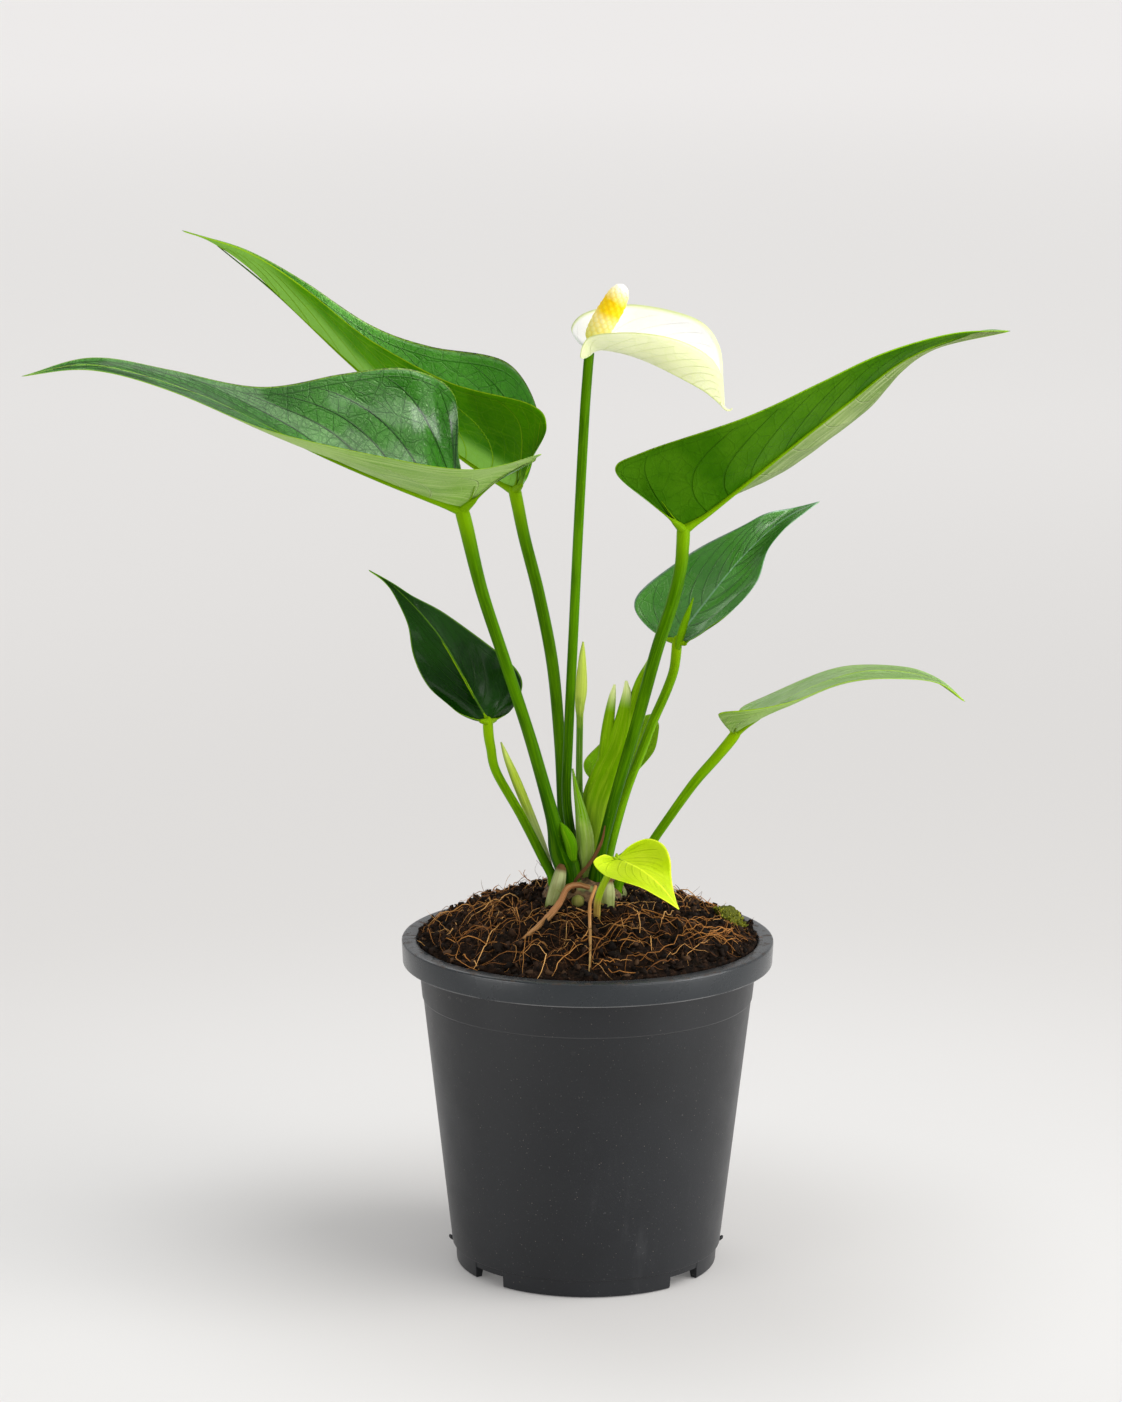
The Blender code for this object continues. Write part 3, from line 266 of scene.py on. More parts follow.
SHEATHS = {
    "cataphyll_left": ("pale_sheath", dict(
        points=[(-30.5, 10.5, 183.5), (-28.5, 10, 178), (-25, 9, 169.5), (-20.5, 8, 158.5), (-15.8, 6.4, 147),
                (-13.2, 4.6, 138.5), (-13, 4.4, 129.3)],
        radii=(0.3, 1.2, 1.8, 1.8, 1.5, 1.3, 1.3), flat=0.7)),
    "cataphyll_front": ("front_sheath", dict(
        points=[(-5.5, -0.6, 176.5), (-4.2, -0.6, 169), (-2.6, -0.6, 161), (-1.4, -0.8, 153), (-0.8, -1.1, 146),
                (-1.0, -1.1, 138.5), (-1.4, -1.1, 129.3)],
        radii=(0.3, 1.1, 2.2, 3.3, 2.9, 1.2, 1.0), flat=0.4)),
}
NEW_SHOOT = [
    dict(points=[(13, 5, 206.5), (13, 5, 200), (10.5, 5, 185.5), (6.5, 5, 175), (2.8, 4, 164.5), (1.8, 3, 154),
                 (1.4, 2.4, 145), (1.3, 2.3, 138.5), (1.3, 2.3, 129.3)],
         radii=(0.5, 2.1, 4.1, 5.3, 5.7, 4.3, 2.5, 2.0, 2.0), flat=0.5),
    dict(points=[(9.0, 6, 205), (8.0, 6, 199.5), (6.5, 5.6, 189), (5.2, 5, 176), (4, 4.4, 166)],
         radii=(0.4, 1.5, 2.3, 2.4, 1.6), flat=0.6),
    dict(points=[(23, 6, 218), (21, 6, 212), (18, 6, 205), (15, 6, 195.5), (11.5, 6, 183.5), (7.5, 5, 169.5)],
         radii=(0.4, 1.7, 2.5, 2.5, 2.1, 1.4), flat=0.7),
]
ROOTS = {
    "root_stub_left": ("stem_stub", dict(
        points=[(-9.4, -11.2, 143.4), (-10.8, -12.4, 137.5), (-12.8, -14.0, 130.5), (-13.0, -14.0, 124)],
        radii=(1.7, 2.5, 2.2, 2.1))),
    "root_stub_front": ("stem_stub", dict(
        points=[(7, -19.5, 141.5), (6.6, -20, 137), (6.6, -20.4, 132), (6.8, -21, 125)],
        radii=(1.3, 2.4, 2.3, 2.0))),
    "aerial_root_thin": ("thin_root", dict(
        points=[(2.6, -20.5, 139.4), (0.6, -27.5, 134.6), (0.6, -38, 127.6), (0.6, -48, 121.6),
                (0.2, -55.5, 117.9)],
        radii=(0.6, 0.6, 0.5, 0.4, 0.25))),
    "aerial_root_thick": ("aerial_root", dict(
        points=[(0.4, -13.4, 137.2), (-3.8, -15.4, 138.6), (-7.2, -18.2, 138.0), (-9.6, -22.5, 134.4),
                (-13.0, -27, 130.8), (-17.0, -31.2, 127.9), (-22.0, -36, 124.7)],
        radii=(0.9, 1.05, 1.1, 1.15, 1.2, 1.0, 0.6))),
    "dried_sheath": ("dry_sheath", dict(
        points=[(5.8, -8.4, 158), (4.6, -9.2, 152.5), (1.2, -10.4, 146), (-2.8, -11.2, 141.2),
                (-4.9, -11.3, 137.5), (-5.2, -11.2, 129.3)],
        radii=(0.24, 0.54, 0.66, 0.66, 0.54, 0.54), flat=0.6)),
}
ROOT_BUD = dict(points=[(-3.5, -18.6, z) for z in (135.8, 134.7, 132.5, 131.4)], radii=(0.5, 2.024, 2.024, 0.5))
SPATHE_HOOK = dict(
    points=[(43.9, -12, 305.8), (45.1, -12, 304), (46.2, -12, 303.1), (47.3, -12, 303), (48, -12, 303.7)],
    radii=(0.5, 0.5, 0.4, 0.3, 0.15))

# Leaf surfaces: dark, light, vein and edge colours, roughness, shares of the veins and of their net, and the rest
# The tops and undersides of the green leaves come as lit and shaded copies of one top and one underside: painted
# light, painted shade and, on the low leaf's pale top, a painted reflection
BLADE_LOOKS = {
    "leaf_top": ((0.018, 0.14, 0.004), (0.046, 0.235, 0.014), (0.005, 0.052, 0.003), (0.2, 0.4, 0.02), 0.22,
        0.65, 0.14, dict(gloss=0.55, lines=0.08, depth=0.9, tint=GLOSSY)),
    # painted light: a lighter copy of the leaf top for the back left and right leaves, whose tops face away from
    # the lamps
    "far_leaf_top": ((0.085, 0.35, 0.024), (0.155, 0.5, 0.06), (0.016, 0.12, 0.007), (0.22, 0.44, 0.02), 0.22,
        0.6, 0.14, dict(gloss=0.8, lines=0.08, depth=0.9, tint=GLOSSY)),
    "middle_leaf_top": ((0.026, 0.175, 0.008), (0.058, 0.25, 0.022), (0.008, 0.07, 0.004), (0.2, 0.37, 0.24),
        0.28, 0.3, 0.12, dict(gloss=0.5, lines=0.04, rib_share=0.6, streaks=0.22, depth=0.22, tint=GLOSSY)),
    # painted shade: a darker copy of the leaf top for the middle left leaf, which is turned away from the light
    "dark_leaf_top": ((0.0016, 0.019, 0.0002), (0.006, 0.043, 0.0006), (0.012, 0.062, 0.0015),
        (0.1, 0.24, 0.01), 0.22, 0.35, 0.12, dict(specular=0.2, gloss=0.1, lines=0.05, ior=1.2, streaks=0.15,
        rib_share=0.5)),
    # painted reflection: a pale copy of the leaf top for the low right leaf, standing in for the bright reflection
    # on it
    "low_leaf_top": ((0.17, 0.35, 0.055), (0.28, 0.47, 0.12), (0.42, 0.58, 0.26), (0.32, 0.55, 0.01), 0.34, 0.4,
        0.1, dict(gloss=0.2, lines=0.05, streaks=0.55)),
    # painted light: a pale, lit copy of the leaf underside for the front left and low right leaves
    "pale_leaf_underside": ((0.19, 0.35, 0.055), (0.28, 0.45, 0.095), (0.42, 0.57, 0.2), (0.36, 0.6, 0.01),
        0.45, 0.5, 0.12, dict(raised=True, specular=0.25, lines=0.0, tint=LEAFY, streaks=0.55)),
    # painted light: a paler, lit copy of the underside for one half of the right leaf
    "far_leaf_underside": ((0.13, 0.215, 0.045), (0.21, 0.295, 0.085), (0.36, 0.45, 0.2), (0.3, 0.52, 0.01),
        0.45, 0.6, 0.12, dict(raised=True, specular=0.25, lines=0.0, tint=LEAFY, streaks=0.8)),
    # painted shade: a dark copy of the underside for the back left leaf, whose underside faces away from the light
    "back_leaf_underside": ((0.028, 0.155, 0.0002), (0.062, 0.235, 0.0006), (0.19, 0.42, 0.006),
        (0.28, 0.5, 0.01), 0.45, 0.9, 0.16, dict(raised=True, specular=0.08, pale=(0.19, 0.42, 0.06), lines=0.0,
        tint=LEAFY, streaks=0.12)),
    # painted shade: a dark copy of the underside for the right and middle leaves
    "right_leaf_underside": ((0.02, 0.094, 0.0003), (0.05, 0.152, 0.003), (0.02, 0.092, 0.0008),
        (0.22, 0.44, 0.004), 0.42, 0.5, 0.22, dict(raised=True, specular=0.1, lines=0.04, tint=LEAFY,
        depth=0.32)),
    "young_leaf_top": ((0.35, 0.51, 0.001), (0.48, 0.6, 0.02), (0.37, 0.54, 0.001), (0.68, 0.82, 0.03), 0.4,
        0.22, 0.05, dict(specular=0.2, lines=0.04, tint=LEAFY, depth=0.1)),
    "young_leaf_underside": ((0.46, 0.62, 0.01), (0.56, 0.7, 0.04), (0.66, 0.78, 0.1), (0.66, 0.8, 0.06),
        0.45, 0.4, 0.12, dict(raised=True, specular=0.2, tint=LEAFY)),
    "back_leaf_top": ((0.1, 0.27, 0.001), (0.19, 0.4, 0.003), (0.28, 0.48, 0.02), (0.26, 0.46, 0.02), 0.36,
        0.5, 0.15, dict(specular=0.15, tint=LEAFY)),
    "spathe_top": ((0.99, 0.99, 0.98), (1.0, 1.0, 0.99), (0.975, 0.98, 0.93), (0.8, 0.89, 0.42), 0.34, 0.2,
        0.05, dict(lines=0.04, depth=0.08, rim_share=0, rib_share=0.3, band=0.1)),
    "spathe_underside": ((0.78, 0.8, 0.48), (0.84, 0.86, 0.57), (0.72, 0.79, 0.32), (0.76, 0.84, 0.36), 0.4,
        0.4, 0.3, dict(raised=True, lines=0.06, depth=0.1, rim_share=0, streaks=0.3)),
}
# Stem surfaces: colours of the foot and the body, the heights between them, the colour of the lines, and the rest
STEM_LOOKS = {
    "stalk": ((0.012, 0.07, 0.0003), (0.052, 0.155, 0.0002), 136, 225, (0.11, 0.27, 0.001),
        dict(joint=(0.15, 0.305, 0.001))),
    "light_stalk": ((0.05, 0.18, 0.0008), (0.125, 0.29, 0.0008), 136, 170, (0.2, 0.38, 0.003),
        dict(joint=(0.2, 0.37, 0.001))),
    "stalk_joint": ((0.065, 0.21, 0.001), (0.15, 0.34, 0.001), 146, 210, (0.24, 0.42, 0.01), {}),
    "flower_stalk": ((0.026, 0.11, 0.0003), (0.062, 0.185, 0.0005), 145, 260, (0.12, 0.29, 0.001), {}),
    "pale_shoot": ((0.22, 0.36, 0.02), (0.155, 0.34, 0.001), 148, 175, (0.38, 0.55, 0.02),
        dict(joint=(0.74, 0.82, 0.36), bands=0.4, reach=(1.0, 0.1))),
    "pale_sheath": ((0.46, 0.54, 0.24), (0.42, 0.56, 0.03), 142, 170, (0.62, 0.74, 0.22),
        dict(joint=(0.62, 0.74, 0.16), bands=0.4, reach=(1.4, 0.2))),
    "front_sheath": ((0.4, 0.56, 0.1), (0.13, 0.31, 0.002), 151, 162, (0.52, 0.62, 0.26), dict(bands=0.5)),
    "bud": ((0.06, 0.22, 0.003), (0.5, 0.62, 0.08), 190, 199, (0.62, 0.72, 0.2), dict(bands=0.4)),
    "young_stalk": ((0.42, 0.24, 0.07), (0.3, 0.46, 0.01), 131, 141, (0.5, 0.62, 0.06), {}),
    "dry_sheath": ((0.07, 0.028, 0.01), (0.13, 0.055, 0.02), 140, 158, (0.3, 0.17, 0.08), dict(roughness=0.6)),
    "stem_stub": ((0.2, 0.24, 0.07), (0.34, 0.37, 0.17), 131, 138, (0.12, 0.065, 0.025),
        dict(roughness=0.6, joint=(0.1, 0.05, 0.02), bands=0.6, reach=(0.34, 0.14))),
    "root_bud": ((0.1, 0.13, 0.02), (0.2, 0.19, 0.05), 132, 136, (0.3, 0.28, 0.09), dict(roughness=0.35)),
    "aerial_root": ((0.4, 0.19, 0.075), (0.27, 0.11, 0.04), 124, 140, (0.66, 0.42, 0.22),
        dict(roughness=0.5, tint=WOODY, bands=0.6)),
    "thin_root": ((0.62, 0.35, 0.14), (0.5, 0.22, 0.07), 118, 136, (0.75, 0.52, 0.28),
        dict(roughness=0.5, tint=WOODY)),
}
# Loose pieces: roughness, and the shades that they are spread over
SCATTER_LOOKS = {
    "soil_crumbs": (0.85, [(0.004, 0.0024, 0.0015), (0.01, 0.0055, 0.003), (0.026, 0.013, 0.007),
        (0.075, 0.04, 0.02)]),
    "coir_fibres": (0.55, [(0.035, 0.013, 0.004), (0.15, 0.055, 0.013), (0.44, 0.18, 0.038), (0.76, 0.42, 0.14)]),
    "moss_leaves": (0.6, [(0.07, 0.08, 0.005), (0.2, 0.21, 0.012), (0.36, 0.36, 0.03)]),
}
SPADIX_STOPS = [(0.0, (0.7, 0.68, 0.16)), (0.23, (0.88, 0.76, 0.32)), (0.35, (0.82, 0.58, 0.006)),
                (0.55, (0.82, 0.55, 0.002)), (0.78, (0.95, 0.86, 0.42)), (1.0, (0.99, 0.98, 0.9))]


# Curves and grids

def smooth(points, t):
    """Points on a smooth curve through the given ones, for t from 0 to 1."""
    rows = np.asarray(points, float)
    if rows.ndim == 1:
        rows = rows[:, None]
    rows = np.vstack([2 * rows[0] - rows[1], rows, 2 * rows[-1] - rows[-2]])
    spans = len(rows) - 3
    place = np.clip(np.atleast_1d(t), 0, 1) * spans
    first = np.minimum(place.astype(int), spans - 1)
    f = (place - first)[:, None]
    a, b, c, d = (rows[first + k] for k in range(4))
    return 0.5 * (2 * b + (c - a) * f + (2 * a - 5 * b + 4 * c - d) * f**2 + (3 * b - a - 3 * c + d) * f**3)


def unit(vectors):
    return vectors / np.maximum(np.linalg.norm(vectors, axis=-1, keepdims=True), 1e-9)


def arc_lengths(points):
    """The distance along a line of points, up to each of them."""
    return np.r_[0, np.cumsum(np.linalg.norm(np.diff(points, axis=0), axis=1))]


def across_line(points, start):
    """Two directions across a line of points, the first of them square to the start direction too."""
    along = unit(np.gradient(points, axis=0))
    wide = unit(np.cross(along, start))
    return wide, np.cross(wide, along)


def rings_round(centres, radius, turn, flat=1.0):
    """Rings of points round a line of centres, closed by a point at each end."""
    wide, deep = across_line(centres, FRONT)
    angle = TURN * turn[:, None]
    ring = np.cos(angle) * wide[:, None] + flat * np.sin(angle) * deep[:, None]
    rings = centres[:, None] + radius[..., None] * ring
    first, last = (np.broadcast_to(centres[k], (1, len(turn), 3)) for k in (0, -1))
    return np.concatenate([first, rings, last])


def uv_grid(down, around):
    return np.stack(np.meshgrid(down, around, indexing="ij")[::-1], -1)


def placed(name, data):
    """A new object in the scene."""
    obj = bpy.data.objects.new(name, data)
    bpy.context.scene.collection.objects.link(obj)
    return obj


class Shape:
    """Grids of points that become one mesh object with two UV layers."""

    def __init__(self):
        self.points, self.faces, self.looks = [], [], []
        self.uv, self.measure = [], []
        self.count = 0

    def grid(self, points, uv, measure=None, look=0, wrap=False, flip=False):
        """Adds a grid of quads. With wrap the last column joins the first, and uv has one column more."""
        rows, columns = points.shape[:2]
        i, j = np.meshgrid(np.arange(rows - 1), np.arange(columns if wrap else columns - 1), indexing="ij")
        i, j = i.ravel(), j.ravel()
        corners = [(i, j), (i, j + 1), (i + 1, j + 1), (i + 1, j)]
        if flip:
            corners = corners[::-1]
        self.points.append(points.reshape(-1, 3))
        self.faces.append(np.stack([self.count + a * columns + b % columns for a, b in corners], 1))
        for layer, values in ((self.uv, uv), (self.measure, uv if measure is None else measure)):
            layer.append(np.stack([values[a, b] for a, b in corners], 1).reshape(-1, 2))
        self.looks.append(np.full(len(i), look))
        self.count += rows * columns

    def make(self, name, looks, merge=0.0):
        mesh = bpy.data.meshes.new(name)
        mesh.from_pydata((np.concatenate(self.points) * MM).tolist(), [], np.concatenate(self.faces).tolist())
        for layer, values in (("UVMap", self.uv), ("measure", self.measure)):
            flat = np.concatenate(values).astype(np.float32).ravel()
            mesh.uv_layers.new(name=layer).data.foreach_set("uv", flat)
        mesh.polygons.foreach_set("material_index", np.concatenate(self.looks))
        if merge:
            sheet = bmesh.new()
            sheet.from_mesh(mesh)
            bmesh.ops.remove_doubles(sheet, verts=sheet.verts, dist=merge * MM)
            bmesh.ops.dissolve_degenerate(sheet, edges=sheet.edges, dist=NO_LENGTH)
            sheet.to_mesh(mesh)
            sheet.free()
        mesh.polygons.foreach_set("use_smooth", np.ones(len(mesh.polygons), bool))
        for look in looks:
            mesh.materials.append(look)
        return placed(name, mesh)


def dress(obj, slot, *nodes):
    """Every piece rides on the one body and stands for its nodes. The slot is not used."""
    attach(obj, "root")
    if nodes:
        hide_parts(*nodes)


def tube(shape, points, radii, flat=1.0, sides=20, step=2.0, look=0, relief=None, before=0.0):
    """Adds a closed tapered tube, wide across the front view. relief(t, turn) scales its radius.

    Its second UV is the length in centimetres, less the length before the point that counts as its start.
    """
    length = arc_lengths(smooth(points, np.linspace(0, 1, TUBE_SAMPLES)))[-1]
    t = np.linspace(0, 1, max(LEAST_RINGS, int(length / step)) + 1)
    turn = np.arange(sides) / sides
    centres, radius = smooth(points, t), np.maximum(smooth(radii, t), LEAST_RADIUS)
    if relief:
        radius = radius * relief(t[:, None], turn[None])
    done = arc_lengths(centres)
    uv = uv_grid((np.r_[0, done, done[-1]] - before) / 10, np.arange(sides + 1) / sides)
    shape.grid(rings_round(centres, radius, turn, flat), uv, look=look, wrap=True)


def add_tubes(name, slot, look, *tubes, **settings):
    """A piece of one or more tubes that stands for the node of its name."""
    shape = Shape()
    for each in tubes:
        tube(shape, **each, **settings)
    dress(shape.make(name + ".look", [look]), slot, name)


# Materials

class Value:
    """An output of a node. Sums on it add math nodes."""

    def __init__(self, graph, socket):
        self.graph, self.socket = graph, socket

    def __add__(self, other):
        return self.graph.math("ADD", self, other)

    def __sub__(self, other):
        return self.graph.math("SUBTRACT", self, other)

    def __rsub__(self, other):
        return self.graph.math("SUBTRACT", other, self)

    def __mul__(self, other):
        return self.graph.math("MULTIPLY", self, other)

    def __truediv__(self, other):
        return self.graph.math("DIVIDE", self, other)

    def __abs__(self):
        return self.graph.math("ABSOLUTE", self)


class Graph:
    """A material's nodes, with short names for the ones used here."""

    def __init__(self, name, roughness, specular, **constants):
        self.material = bpy.data.materials.new(name)
        self.material.use_nodes = True
        self.tree = self.material.node_tree
        self.shader = self.tree.nodes["Principled BSDF"]
        self.fill(Roughness=roughness, Specular_IOR_Level=specular, **constants)

    def fill(self, **values):
        """Sets or links inputs of the shader, with an underscore for each space in their names."""
        for key, value in values.items():
            self.put(self.shader.inputs[key.replace("_", " ")], value)

    def put(self, socket, value):
        if isinstance(value, Value):
            self.tree.links.new(value.socket, socket)
        elif isinstance(value, tuple) and len(value) == 3 and len(socket.default_value) == 4:
            socket.default_value = (*value, 1)
        else:
            socket.default_value = value

    def node(self, kind, output=0, inputs=None, **settings):
        made = self.tree.nodes.new("ShaderNode" + kind)
        for key, value in settings.items():
            setattr(made, key, value)
        for key, value in (inputs or {}).items():
            self.put(made.inputs[key], value)
        return Value(self, made.outputs[output])

    def math(self, operation, *values):
        return self.node("Math", inputs=dict(enumerate(values)), operation=operation)

    def split(self, vector):
        """The three coordinates of a vector."""
        return [Value(self, part) for part in self.node("SeparateXYZ", inputs={0: vector}).socket.node.outputs]

    def join(self, x, y, z=0.0):
        return self.node("CombineXYZ", inputs={0: x, 1: y, 2: z})

    def place(self, stretch=(1, 1, 1)):
        at = self.node("TexCoord", "Object")
        return at if stretch == (1, 1, 1) else self.node("Mapping", inputs={"Vector": at, "Scale": stretch})

    def noise(self, scale, detail=3.0, rough=0.55, stretch=(1, 1, 1), at=None):
        return self.node("TexNoise", inputs={"Vector": at or self.place(stretch), "Scale": scale, "Detail": detail,
                                             "Roughness": rough})

    def cells(self, scale, feature="DISTANCE_TO_EDGE"):
        return self.node("TexVoronoi", "Distance", {"Vector": self.place(), "Scale": scale}, feature=feature)

    def ease(self, value, low, high, to_low=0.0, to_high=1.0):
        """A smooth step from one value to another."""
        return self.node("MapRange", inputs={"Value": value, "From Min": low, "From Max": high, "To Min": to_low,
                                             "To Max": to_high}, interpolation_type="SMOOTHSTEP")

    def off_whole(self, value):
        """How far a value is from the nearest whole number."""
        return self.math("PINGPONG", value, 0.5)

    def uv(self, layer="UVMap"):
        return self.split(self.node("UVMap", uv_map=layer))[:2]

    def mix(self, share, first, second, blend="MIX"):
        return self.node("Mix", 2, {0: share, 6: first, 7: second}, data_type="RGBA", blend_type=blend)

    def paint(self, colour, *coats):
        """A colour with others laid over it, each by its share."""
        for share, coat in coats:
            colour = self.mix(share, colour, coat)
        return colour

    def shade(self, colour, by):
        return self.mix(1.0, colour, by, "MULTIPLY")

    def ramp(self, value, stops):
        """A colour by a value, from places and colours."""
        made = self.node("ValToRGB", inputs={0: value})
        elements = made.socket.node.color_ramp.elements
        while len(elements) < len(stops):
            elements.new(0.5)
        for element, (place, colour) in zip(elements, stops):
            element.position, element.color = place, (*colour, 1)
        return made

    def finish(self, colour, roughness=None, height=None, depth=0.1):
        self.fill(Base_Color=colour)
        if roughness is not None:
            self.fill(Roughness=roughness)
        if height is not None:
            self.fill(Normal=self.node("Bump", inputs={"Height": height, "Strength": 1.0, "Distance": depth * MM}))
        return self.material


def blade_look(name, dark, light, vein, edge, roughness, vein_share, net, raised=False, specular=0.5, gloss=0.0,
               pale=None, lines=0.15, tint=(1, 1, 1), depth=0.25, rim_share=0.35, rib_share=0.75, streaks=0.0,
               band=0.0, ior=1.5):
    """A leaf surface: main veins by the UV rows, a net of small veins, a pale midrib and a bright margin."""
    g = Graph(name, roughness, specular, Specular_Tint=tint, IOR=STEM_IOR if raised else ior, Coat_Weight=gloss,
              Coat_Roughness=COAT_ROUGHNESS)
    phase, gap = g.uv()
    to_rib, to_edge = g.uv("measure")
    inside = g.ease(to_edge, 0.12, 0.35)
    vein_width = g.ease(to_edge, 0.1, 1.6, 0.14, 0.42)
    main = g.ease(g.off_whole(phase) * gap / vein_width, 1.0, 0.25) * inside
    rim_vein = g.ease(abs(to_edge - 0.26), 0.03, 0.0)
    main = g.math("MAXIMUM", main, rim_vein * rim_share)
    side = g.ease(g.off_whole(phase * 3.0) * gap, 0.5, 0.1) * inside * g.ease(g.noise(70, 2), 0.46, 0.6)
    fine = g.ease(g.off_whole(phase * 11.0), 0.4, 0.1) * lines
    coarse, medium, small = (g.ease(g.cells(scale), width, 0.0) for scale, width in
                             ((150, 0.055), (380, 0.07), (900, 0.1)))
    net_veins = coarse * 0.7 + medium * 0.4 + small * 0.2
    outward = to_rib / (to_rib + to_edge + 0.01)
    grain = g.noise(1.0, 4, 0.6, at=g.join(outward * 34.0, phase * 0.5))
    streak, dusk = g.ease(grain, 0.42, 0.66), g.ease(grain, 0.46, 0.3)
    colour = g.mix(g.ease(g.noise(38, 4), 0.35, 0.68), dark, light)
    if pale:
        colour = g.mix(g.ease(to_rib + g.noise(45, 2) * 0.3, 1.5, 0.75), colour, pale)
    colour = g.paint(colour, (dusk * streaks, g.shade(colour, VEIN_SHADE)), (streak * streaks, vein),
                     (net_veins * net, vein), (fine + side * 0.3, vein), (main * vein_share, vein),
                     (g.ease(abs(to_rib), 0.055, 0.022) * rib_share, edge),
                     (g.ease(to_edge, 0.06 + band, 0.025), edge))
    relief = main * 1.3 + net_veins * 0.5 + side * 0.4 + fine * 0.25
    relief = relief * (1.0 if raised else -1.0) + streak * (0.5 * streaks) + g.noise(420, 3) * 0.5
    return g.finish(colour, g.noise(90, 3) * 0.16 + (roughness - 0.08), relief, depth)


def stem_look(name, foot, body, low_z, high_z, stripe, roughness=0.36, specular=0.2, joint=None,
              tint=(0.8, 1, 0.1), bands=0.7, reach=(2.0, 0.2)):
    """A stem whose colour goes from its foot to its body between two heights, with fine lines along it."""
    g = Graph(name, roughness, specular, IOR=STEM_IOR, Specular_Tint=tint)
    height = g.split(g.place())[2] + (g.noise(120) - 0.5) * 0.02
    turn, along = g.uv()
    lines = g.ease(g.noise(1.0, 3, at=g.join(turn * 26.0, along * 0.5)), 0.42, 0.66)
    broad = g.ease(g.noise(1.0, 2, at=g.join(turn * 3.0, along * 0.36)), 0.42, 0.58)
    specks = g.ease(g.noise(900, 2), 0.66, 0.74)
    colour = g.mix(g.ease(height, low_z * MM, high_z * MM), foot, body)
    if joint:
        near = g.ease(along, *reach)
        colour = g.mix(near, colour, joint)
        broad = broad * (1.0 - near)
    colour = g.paint(colour, (broad * bands, g.shade(colour, STEM_SHADE)), (lines * 0.3, stripe),
                     (specks * 0.25, stripe))
    return g.finish(colour, lines * 0.1 + roughness, lines, 0.08)


def scatter_look(name, roughness, colours):
    """Each small piece takes one shade from the ramp by its own number in the UV layer."""
    g = Graph(name, roughness, 0.12)
    stops = [(k / (len(colours) - 1), colour) for k, colour in enumerate(colours)]
    return g.finish(g.ramp(g.uv()[0] + (g.noise(500) - 0.5) * 0.3, stops), None, g.noise(2200, 3), 0.25)


def spadix_look():
    """Colours from foot to tip, with painted shade in the hollows between the beads of the florets."""
    g = Graph("spadix_florets", 0.55, 0.15, Specular_Tint=(1.0, 0.95, 0.6))
    bead, along = g.uv("measure")
    body = g.ramp(g.ease(along + g.noise(170, 2) * 0.1, 0.15, 1.0), SPADIX_STOPS)
    # painted shade in the hollows between the beads
    colour = g.paint(body, (g.ease(bead, 0.45, 0.0), g.shade(body, (0.99, 0.91, 0.62))),
                     (g.ease(bead, 0.75, 1.0) * 0.15, (0.96, 0.82, 0.12)))
    return g.finish(colour, None, g.noise(1500, 2), 0.05)


def soil_look():
    g = Graph("potting_mix", 0.92, 0.1)
    lumps = g.noise(420, 6, 0.7)
    colour = g.mix(g.ease(lumps, 0.36, 0.7), (0.003, 0.0018, 0.001), (0.026, 0.0125, 0.0065))
    colour = g.mix(g.ease(g.noise(1300, 3), 0.62, 0.72) * 0.6, colour, (0.14, 0.07, 0.028))
    return g.finish(colour, None, lumps + g.noise(1400, 4) * 0.6, 1.2)


def crown_look():
    g = Graph("crown", 0.8, 0.3)
    bark = g.noise(330, 5, 0.65, stretch=(1, 1, 2.5))
    colour = g.mix(g.ease(bark, 0.35, 0.65), (0.03, 0.016, 0.008), (0.17, 0.095, 0.04))
    colour = g.mix(g.ease(g.noise(140, 2), 0.55, 0.66) * 0.7, colour, (0.2, 0.24, 0.07))
    return g.finish(colour, None, bark, 0.8)


